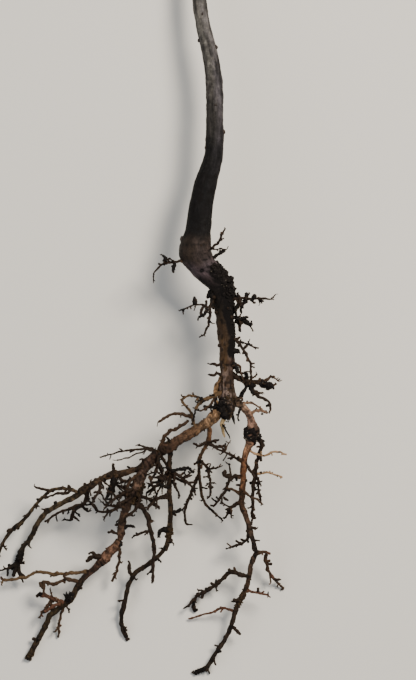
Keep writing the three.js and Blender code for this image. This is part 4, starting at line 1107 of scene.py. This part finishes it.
# Short fine roots that stand by themselves: what each grows on, its run in the plan, how far it rises
# from that root's middle at its foot and at its tip, its thickness and its skin.
sideTwigs = (
    ("trunk", ((0.3, -11.8), (-1.4, -12.7), (-2.6, -11.8), (-5, -12.2)), 1, 2, 0.65, "dark"),
    ("trunk", ((0.2, -17.5), (-1.5, -16.2), (-2.8, -17.9), (-5.4, -17.2)), 1.5, 3, 0.65, "dark"),
    ("trunk", ((5.4, -5.2), (9.8, -6.1)), 2, 2, 1.1, "black"),
    ("trunk", ((6.4, -11.6), (8, -13), (8.4, -16.4)), 2, 3, 1.0, "black"),
    ("trunk", ((6.6, -14), (8.4, -14.6), (10, -16.6)), 1, 2, 0.7, "dark"),
    ("trunk", ((6, -13), (9.6, -12.4), (10.2, -15), (11.4, -19.8)), 2.4, 4, 0.6, "brown"),
    ("trunk", ((-0.4, -33), (-4.1, -33.8), (-8.5, -33)), 1, 2, 0.8, "black"),
    ("trunk", ((-4.5, 40.4), (-1, 42.6), (2.8, 44.6)), 2, 3, 0.85, "black"),
    ("trunk", ((-3.6, 25), (-5, 23.4), (-6.4, 20.6)), 0, 0, 0.95, "black"),
    ("trunk", ((-3.2, 25), (-4, 20.6), (-3.7, 16)), 1, 3, 0.95, "black"),
    ("crook_left", ((-28.4, 37.4), (-27, 39.6), (-28.8, 42.5)), 0, 0.5, 0.8, "black"),
    ("crook_left", ((-22.6, 39), (-23.6, 34.2)), 0, -0.5, 0.8, "black"),
    ("taproot_left", ((-12.4, 17.6), (-12.8, 21.8)), 1, 1, 0.85, "black"),
    ("taproot_left", ((-6.8, 15.4), (-6.9, 20)), 0, 0.5, 0.65, "dark"),
    ("taproot_left", ((-6.4, 15.9), (-8, 12.8), (-10.8, 11.2)), 0.3, 0, 0.8, "black"),
    ("taproot_left", ((-8.4, 16.8), (-9.6, 13.4), (-8.6, 11.6)), 0.6, 0.3, 0.65, "dark"),
    ("taproot_right_upper", ((13, 21.2), (13.3, 23.9)), 0, 0, 0.8, "black"),
    ("taproot_right_upper", ((17, 20.6), (17.2, 23)), 0, 0, 1.0, "black"),
    ("taproot_right_upper", ((9.2, 21.4), (8.4, 22.9)), 0, 0, 0.9, "black"),
    ("taproot_right_upper", ((15.6, 20.3), (16.4, 18.8)), 0, 0, 0.8, "black"),
    ("taproot_right_upper", ((19.6, 20.6), (20.4, 19)), 0, 0, 0.75, "black"),
    ("taproot_right_upper", ((9.8, 21.2), (9.6, 18.6), (7.9, 16), (7.9, 14), (8.3, 11.9)), 0, -1, 0.8,
        "black"),
    ("taproot_right_upper", ((13.6, 20.6), (11.6, 18.2), (10.5, 16.3), (10, 14.8), (10.8, 13.4)), 0, -1,
        0.75, "black"),
    ("taproot_right_tuft", ((8.3, 11.2), (9.6, 10), (12.4, 11), (13.8, 11.6)), 0, 0, 1.0, "black"),
    ("taproot_right_tuft", ((11.6, 9.8), (13.4, 8.6), (15.2, 7.2)), 0, 0, 0.95, "black"),
    ("taproot_right_tuft", ((9.4, 10.8), (7.6, 8.4)), 0, 0, 0.9, "black"),
    ("taproot_right_tuft", ((11.4, 9.8), (10, 7.4), (10.2, 4.6)), 0, 1, 0.5, "dark"),
    ("crown_right_cluster", ((12.4, -20), (13.4, -18), (12.4, -16.4)), 0, 1, 0.9, "black"),
    ("crown_right_cluster", ((16, -21), (15.6, -24.6), (16.8, -27)), 0, 1, 1.1, "black"),
    ("crown_right_cluster", ((11.4, -20), (13, -23), (9.6, -28.6)), 0, -1, 0.9, "black"),
    ("right_root", ((15.2, -37), (17.7, -35.2), (20.6, -35.4), (24, -36.4)), 0.5, 2, 0.8, "pale"),
    ("right_root", ((10.6, -34), (8.8, -38), (9.6, -40.6)), 0.5, 1, 0.5, "black"),
    ("right_root", ((14.6, -93.6), (18.6, -94.8)), 0, 0, 0.7, "dark"),
    ("right_root", ((11.2, -77.2), (8, -76), (5.4, -74.8), (2.9, -74.2)), 0.5, 1, 0.65, "brown"),
    ("right_root", ((11.5, -75.5), (14.5, -78), (18, -79.5), (21.7, -82.6)), 1, 2, 0.6, "brown"),
    ("middle_root", ((-5.2, -50.5), (-8, -51.5), (-10.5, -53), (-13.5, -51.5)), 0.5, 1, 0.7, "dark"),
    ("right_second", ((18, -67), (22, -66.8), (25, -66.6), (31.4, -69)), 0, 3, 0.55, "straw"),
    ("right_left_fork", ((5.8, -68.6), (2, -67.4), (2.7, -65)), 0, 0.5, 0.9, "dark"),
    ("right_left_fork", ((1.6, -78.8), (4.4, -80.6)), 0, 0, 0.6, "dark"),
    ("right_root", ((12.4, -61.2), (15.2, -65.4), (17.2, -69)), 0.5, 0.5, 0.65, "dark"),
    ("right_second", ((15.6, -66.4), (17.2, -65), (19, -63)), 0.5, 1, 0.55, "brown"),
    ("right_root", ((11, -73.2), (7.9, -72.6)), 0.5, 0.5, 0.65, "dark"),
    ("middle_root", ((-5.8, -50.8), (-3.6, -50.5), (-1, -50.2)), 0.5, 1, 0.65, "dark"),
    ("middle_root", ((-6.4, -52.2), (-3.6, -52.8), (-1, -53.6), (2.6, -52.6)), 0.5, 1.5, 0.7, "dark"),
    ("right_root_end", ((6.6, -145), (10.6, -149)), 0, 0, 0.85, "dark"),
    ("right_root_end", ((-2, -158), (1, -157.6)), 0, 0.5, 0.8, "black"),
    ("left_outer_root", ((-52.8, -67), (-53.4, -61.6)), 0, 1.5, 0.8, "dark"),
    ("left_outer_root_upper", ((-85.4, -76), (-93.4, -73.6)), 0, 1, 0.65, "dark"),
    ("left_outer_root_upper", ((-74.6, -75.4), (-77, -77), (-80.7, -76.8), (-83.8, -78),
        (-88.4, -79.4)), 0, -0.4, 0.65, "dark"),
    ("left_outer_root_upper", ((-75.9, -75.6), (-75.8, -72.6)), 0, 0.5, 0.65, "dark"),
    ("left_outer_root", ((-67.2, -74.4), (-67.9, -71.5)), 0, 0.5, 0.9, "dark"),
    ("left_outer_root", ((-64.2, -73), (-65, -70.4)), 0, 0.5, 0.8, "dark"),
    ("left_lower_root", ((-49.6, -95), (-45.6, -93.4), (-43, -93.8)), 0.5, 1, 0.8, "black"),
    ("left_lower_root", ((-50, -98), (-54, -96.4), (-56.6, -96.6)), 0.5, 1, 0.7, "dark"),
    ("left_lower_root", ((-34.6, -58.8), (-37, -59.9), (-39.6, -59.4)), 0.5, 1, 0.8, "dark"),
    ("left_lower_root", ((-39, -67), (-42.6, -68.4), (-46.4, -73), (-46.6, -78)), 1, 2, 0.8, "brown"),
    ("left_lower_root", ((-41.6, -75), (-46.1, -77.1), (-50.6, -78.2), (-55.4, -80.7)), 1, 3, 0.7,
        "dark"),
    ("left_lower_root", ((-43.6, -78.6), (-47.7, -80.7), (-51.8, -82)), 2, 3, 0.8, "dark"),
    ("left_lower_root", ((-46.6, -84), (-50.2, -82.7), (-53.3, -83.3), (-58.4, -82.4)), 1, 2, 0.7,
        "brown"),
    ("left_lower_root", ((-39.6, -74), (-40.4, -80), (-43, -86), (-46.4, -88)), 1, 0, 0.9, "dark"),
    ("left_lower_root_end", ((-58.6, -109.6), (-63.6, -109), (-67.6, -111.6)), 0.5, 1, 1.0, "dark"),
    ("left_lower_root_end", ((-60.6, -111), (-63.4, -107.4), (-65.6, -107)), 0.5, 2, 0.75, "dark"),
    ("left_lower_root_end", ((-80.4, -133.6), (-83.6, -133.8), (-86.4, -136.2), (-89, -137.4)), 1.5,
        2.5, 0.85, "reddish"),
    ("left_lower_root_end", ((-81.4, -132.4), (-82.2, -131.2), (-82.6, -129.8)), 1.6, 2.2, 0.4, "pale"),
    ("tip_red", ((-84.4, -129.4), (-85, -132), (-85.4, -135.6)), 0, 0, 0.7, "dark"),
    ("curled", ((-78, -120.6), (-78.4, -118.8), (-77.4, -116.9)), 0, -0.5, 0.6, "brown"),
    ("curled", ((-89.2, -125), (-90.8, -121.8)), 0, 0.5, 0.7, "brown"),
    ("knuckle_left", ((-33.2, -54.2), (-37.4, -53.8), (-41.3, -52.4)), 0, 0.5, 0.55, "dark"),
    ("left_outer_root", ((-48.6, -66), (-50.2, -69.4), (-47.1, -70.9), (-44.6, -69.3)), 0, -1, 0.8,
        "dark"),
    ("inner_root", ((-25.2, -69), (-28.6, -69.3), (-31.7, -68.8), (-35.4, -68.2)), 1, 2, 0.8, "dark"),
    ("inner_root", ((-25.2, -73.6), (-29.6, -72.9), (-32.7, -70.9), (-35.8, -73.5)), 1, 2, 0.8,
        "black"),
    ("inner_root", ((-25.2, -77.4), (-30.7, -79.1), (-34.3, -80.1)), 0, 1, 0.8, "dark"),
    ("left_lower_root", ((-42, -78.4), (-35.8, -79.6), (-32.7, -82.7), (-30.2, -84.3)), -1, -2, 0.8,
        "dark"),
    ("left_root", ((-28.6, -55), (-29.4, -58), (-27.6, -60.6), (-26, -64.7)), -1, -3, 0.8, "dark"),
    ("left_root", ((-30.6, -57), (-31, -61), (-28.8, -65.7), (-30.2, -68.8)), -1, -4, 0.85, "black"),
    ("inner_root", ((-25.2, -65.7), (-20.4, -64.7), (-15.7, -64.2), (-13, -66.6)), 1, 2, 0.8, "black"),
    ("inner_root", ((-25.2, -67.8), (-20.4, -69.9), (-17.3, -71.4), (-11.6, -71.2)), 0, -1, 0.7,
        "dark"),
    ("inner_root", ((-25.2, -70), (-22.4, -72.9), (-20.4, -78.6)), 0, 0, 0.65, "dark"),
    ("inner_root", ((-25.2, -86.6), (-21.4, -86), (-18.8, -85.3)), 0, 0.5, 0.8, "black"),
    ("inner_root", ((-26, -96.1), (-29.6, -95.6), (-31.2, -98.7)), 0, 0.5, 1.0, "black"),
    ("inner_root", ((-44, -119.2), (-46, -116), (-45.6, -112.4)), 0, 0, 0.85, "dark"),
    ("left_root", ((-11.8, -44.6), (-13.6, -40.6)), 0.5, 1.5, 0.65, "dark"),
    ("left_root", ((-26, -53), (-25, -50.4), (-26.6, -48.6)), 1, 2, 0.65, "black"),
)
# Short roots that run out to a point, told in the same way.
spikes = (
    ("trunk", ((5, -34.6), (6.2, -38), (7.4, -42.2)), 0, -1, 1.15, "black"),
    ("trunk", ((2.6, -35.6), (3.4, -38.2), (4.2, -40.6)), -1, -2, 0.9, "black"),
    ("left_outer_root", ((-52.8, -68.4), (-53.4, -71.6), (-55.4, -76), (-57.2, -79.8)), 0, -1, 1.45,
        "black"),
    ("left_lower_root_end", ((-76.4, -130.4), (-77.5, -126.9)), 0.5, 1, 0.85, "black"),
    ("left_lower_root_end", ((-76.8, -130.6), (-79.2, -128)), 0, 0.5, 0.8, "black"),
    ("left_lower_root_end", ((-75.6, -129.8), (-75.9, -126.6)), 0.5, 1.5, 0.7, "black"),
)
shortStep = 0.6
spikeLook = dict(rootletLook, spurChance=0, noduleChance=0, club=(-0.4, -0.2))
spikeTaper = 0.3
shortRoots = [(row, rootletLook, rootletTaper) for row in sideTwigs]
shortRoots += [(row, spikeLook, spikeTaper) for row in spikes]
rng = np.random.default_rng(seeds["shortRoots"])
sideBag = newBag()
for (on, run, low, high, thick, skinName), look, taper in shortRoots:
    carrier = drawn[on]
    z = carrier[np.linalg.norm(carrier[:, :2] - run[0], axis=1).argmin(), 2]
    share = np.linspace(0, 1, len(run))
    stations = np.column_stack([run, z + blend(low, high, share), thick * blend(1, taper, share)])
    skin = skinOrder.index(skinName)
    addFineRoot(sideBag, pathOf(stations, shortStep), look, (skin, skin, darkSkin), 0, rng)
makePiece("sideTwigs", sideBag, skins)
print("fine roots drawn")

# Bare side twigs of last year's growth, with a bud at each joint and one at the tip.
bareLook = dict(step=0.5, sides=14, relief=(0.1, 1.2, 51), ridges=(0.05, (0.5, 5, 0.5), 52),
    tint=((0, "#4b4139"), (0.6, "#4f3e34"), (1, "#452f27")))
twigBag = newBag()
twigNames = [name for name in masses if name.startswith("twig")]


def bareLift(surface, straight, around, share):
    return around * layered(surface, bareLook["relief"]) + layered(straight, bareLook["ridges"])


for name in twigNames:
    path = pathOf(grown[name]["stations"][0], bareLook["step"])
    addTube(twigBag, rounded(path), bareLook["sides"], 0, bareLift, paintAlong(bareLook["tint"]))
    addBuds(twigBag, grown[name])
    addEndBud(twigBag, path, twigEndBud)
makePiece("bareTwigs", twigBag, [youngBark], twigNames)

# Soil that still clings in a lumpy crust: on which root, between which shares of its length, which
# way it faces in degrees from the right, how far round it goes, how many lumps, their sizes, and
# whether the soil is the black or the brown one.
crusts = (
    ("trunk", 0.133, 0.172, 20, 80, 190, (0.35, 1.6), 0),
    ("trunk", 0.09, 0.135, 5, 60, 60, (0.3, 0.95), 0),
    ("trunk", 0.0, 0.018, 118, 44, 16, (0.9, 1.9), 0),
    ("trunk", 0.0, 0.024, 100, 60, 100, (0.35, 1.1), 0),
    ("trunk", 0.0, 0.034, 62, 50, 50, (0.3, 0.9), 1),
    ("trunk", 0.026, 0.06, 90, 160, 24, (0.2, 0.5), 1),
    ("right_root", 0.262, 0.325, 180, 50, 34, (0.6, 1.9), 0),
    ("right_root", 0.28, 0.35, 0, 50, 26, (0.5, 1.5), 0),
    ("right_root", 0.255, 0.335, 90, 75, 60, (0.35, 1.1), 0),
    ("right_root", 0.0, 0.12, 90, 150, 40, (0.2, 0.5), 1),
    ("left_root", 0.7, 1.0, 90, 150, 24, (0.2, 0.55), 1),
    ("left_lower_root", 0.0, 0.75, 90, 150, 50, (0.2, 0.6), 1),
    ("left_lower_root", 0.36, 0.6, 0, 70, 50, (0.4, 1.3), 1),
    ("left_lower_root_end", 0.45, 0.53, 135, 75, 44, (0.4, 1.5), 0),
    ("left_lower_root_end", 0.93, 1.0, 90, 180, 30, (0.3, 0.7), 1),
    ("left_outer_root", 0.3, 0.7, 90, 150, 24, (0.2, 0.6), 1),
    ("left_outer_root_lower", 0.9, 1.0, 90, 180, 50, (0.3, 0.8), 0),
    ("left_outer_root_upper", 0.55, 0.68, 90, 180, 25, (0.25, 0.6), 0),
    ("inner_root", 0.36, 0.46, 90, 160, 50, (0.3, 0.85), 1),
    ("right_root_end", 0.28, 0.42, 90, 160, 50, (0.3, 0.75), 1),
    ("right_root_end", 0.92, 1.0, 90, 180, 30, (0.3, 0.7), 0),
    ("crown_right_cluster", 0.74, 1.0, 90, 180, 140, (0.45, 1.7), 0),
    ("crown_right_cluster", 0.4, 0.74, 90, 180, 50, (0.3, 0.8), 1),
    ("taproot_right_tuft", 0.3, 1.0, 90, 180, 80, (0.3, 0.9), 0),
    ("tip_red", 0.0, 0.3, 90, 180, 12, (0.3, 0.7), 1),
    ("tip_red", 0.9, 1.0, 90, 180, 14, (0.35, 0.85), 0),
    ("middle_root", 0.2, 0.4, 90, 180, 20, (0.25, 0.5), 1),
    ("right_second", 0.0, 0.14, 90, 180, 30, (0.3, 0.8), 0),
)
soils = [makeSkin("dampSoilDried", "#15110f", 0.88, 0.8),
    makeSkin("brownSoilDried", "#332719", 0.9, 0.6), makeSkin("paleGrit", "#625c50", 0.85, 0.5)]
# The numbers of the crust's beta draws, how far its lumps stand out, and which of them are finer.
crustLook = dict(places=(1.5, 1.5), round=(0.4, 1), sizes=(1.1, 3.2), out=(-0.5, 0.35), fineFrom=0.8,
    rough=0.6)
# Grains of grit that stand on the larger clods of black soil.
grit = dict(count=150, size=(0.2, 0.52), sizes=(1.2, 2), leastClod=0.65, lift=(0, 0, 0.5), out=0.95,
    rough=0.5)
clods = []
crustBag = newBag()
rng = np.random.default_rng(seeds["soil"])
for name, low, high, facing, spread, count, sizes, soilKind in crusts:
    path = drawn[name]
    side, tangent, across = framesOf(path[:, :3])
    for number in range(count):
        place = blend(low, high, rng.beta(*crustLook["places"]))
        row = round(place * (len(path) - 1))
        degrees = facing + spread * rng.uniform(-1, 1) * rng.uniform(*crustLook["round"])
        size = blend(*sizes, rng.beta(*crustLook["sizes"]))
        reach = path[row, 3] + rng.uniform(*crustLook["out"]) * size
        centre = path[row, :3] + wayOut(degrees, tangent[row]) * reach
        detail = 3 if size > crustLook["fineFrom"] else 2
        addLump(crustBag, centre, size, detail, rng.integers(9999), soilKind, crustLook["rough"])
        if soilKind == 0 and size > grit["leastClod"]:
            clods.append((centre, size))
for number in range(grit["count"]):
    centre, size = clods[rng.integers(len(clods))]
    out = unit(rng.normal(size=3) + grit["lift"]) * size * grit["out"]
    size = blend(*grit["size"], rng.beta(*grit["sizes"]))
    addLump(crustBag, centre + out, size, 1, number, 2, grit["rough"])
makePiece("soilCrust", crustBag, soils)

# Crumbs of soil, thrown over every root and thickest near the crown.
crumbs = dict(count=1700, size=(0.18, 0.55), sizes=(1.2, 3), sunk=0.92, rough=0.6, trunkRows=300)
crumbBag = newBag()
bearers = [path for name, path in drawn.items() if name != "trunk"] + [trunkPath[:crumbs["trunkRows"]]]
weights = np.array([lengthsAlong(path[:, :3])[-1] * path[:, 3].mean() for path in bearers])
for number in range(crumbs["count"]):
    path = bearers[rng.choice(len(bearers), p=weights / weights.sum())]
    at = path[rng.integers(len(path))]
    size = blend(*crumbs["size"], rng.beta(*crumbs["sizes"]))
    centre = at[:3] + unit(rng.normal(size=3)) * at[3] * crumbs["sunk"]
    addLump(crumbBag, centre, size, 1, number, number % 2, crumbs["rough"])
makePiece("soilCrumbs", crumbBag, soils)
print("soil laid on")

# Floor: plaster board with a matt pale paint, which gives no gloss.
paleFloor, tree = newMaterial("mattPaleFloor")
finishMaterial(tree, {"Base Color": linear("#d3cfc6"), "Roughness": 0.9, "Specular IOR Level": 0.2})
floorHalf = 12.0
floorLevel = cadBox[0][2]  # the lowest root tip touches it
corners = [(x * floorHalf, y * floorHalf, floorLevel) for x, y in ((-1, -1), (1, -1), (1, 1), (-1, 1))]
floorMesh = bpy.data.meshes.new("floor")
floorMesh.from_pydata(corners, [], [(0, 1, 2, 3)])
floorMesh.materials.append(paleFloor)
floor = bpy.data.objects.new("floor", floorMesh)
bpy.context.scene.collection.objects.link(floor)

# The camera looks straight down on the roots, from where its picture takes in 340 mm of them.
view = dict(plan=np.array([-6, 0]), height=2.03, distance=2.0, frameHeight=0.34, sensor=36)
cameraData = bpy.data.cameras.new("camera")
cameraData.sensor_fit = "VERTICAL"
cameraData.sensor_height = view["sensor"]
cameraData.lens = view["sensor"] * view["distance"] / view["frameHeight"]
camera = bpy.data.objects.new("camera", cameraData)
camera.location = (*(view["plan"] + planShift[:2]) * mm, view["height"])
bpy.context.scene.collection.objects.link(camera)
bpy.context.scene.camera = camera

# Soft studio light: a large key from the upper right, and a broad fill from the left.
lamps = {
    "key": dict(at=(0.7, 0.55, 1.3), size=0.5, power=40, colour="#fff6ea"),
    "fill": dict(at=(-1.1, -0.4, 1.3), size=1.5, power=11, colour="#eef3ff"),
}
target = np.array([0.03, -0.1, 0.02])
for name, lamp in lamps.items():
    light = bpy.data.lights.new(name, "AREA")
    light.size = lamp["size"]
    light.energy = lamp["power"]
    light.color = linear(lamp["colour"])[:3]
    lampObject = bpy.data.objects.new(name, light)
    lampObject.location = lamp["at"]
    x, y, z = target - np.array(lamp["at"])
    lampObject.rotation_euler = (math.atan2(math.hypot(x, y), -z), 0, math.atan2(y, x) - math.pi / 2)
    bpy.context.scene.collection.objects.link(lampObject)
world = bpy.data.worlds.new("softRoom")
world.use_nodes = True
background = world.node_tree.nodes["Background"]
background.inputs["Color"].default_value = linear("#e8edf2")
background.inputs["Strength"].default_value = 0.45
bpy.context.scene.world = world
print("stage set")
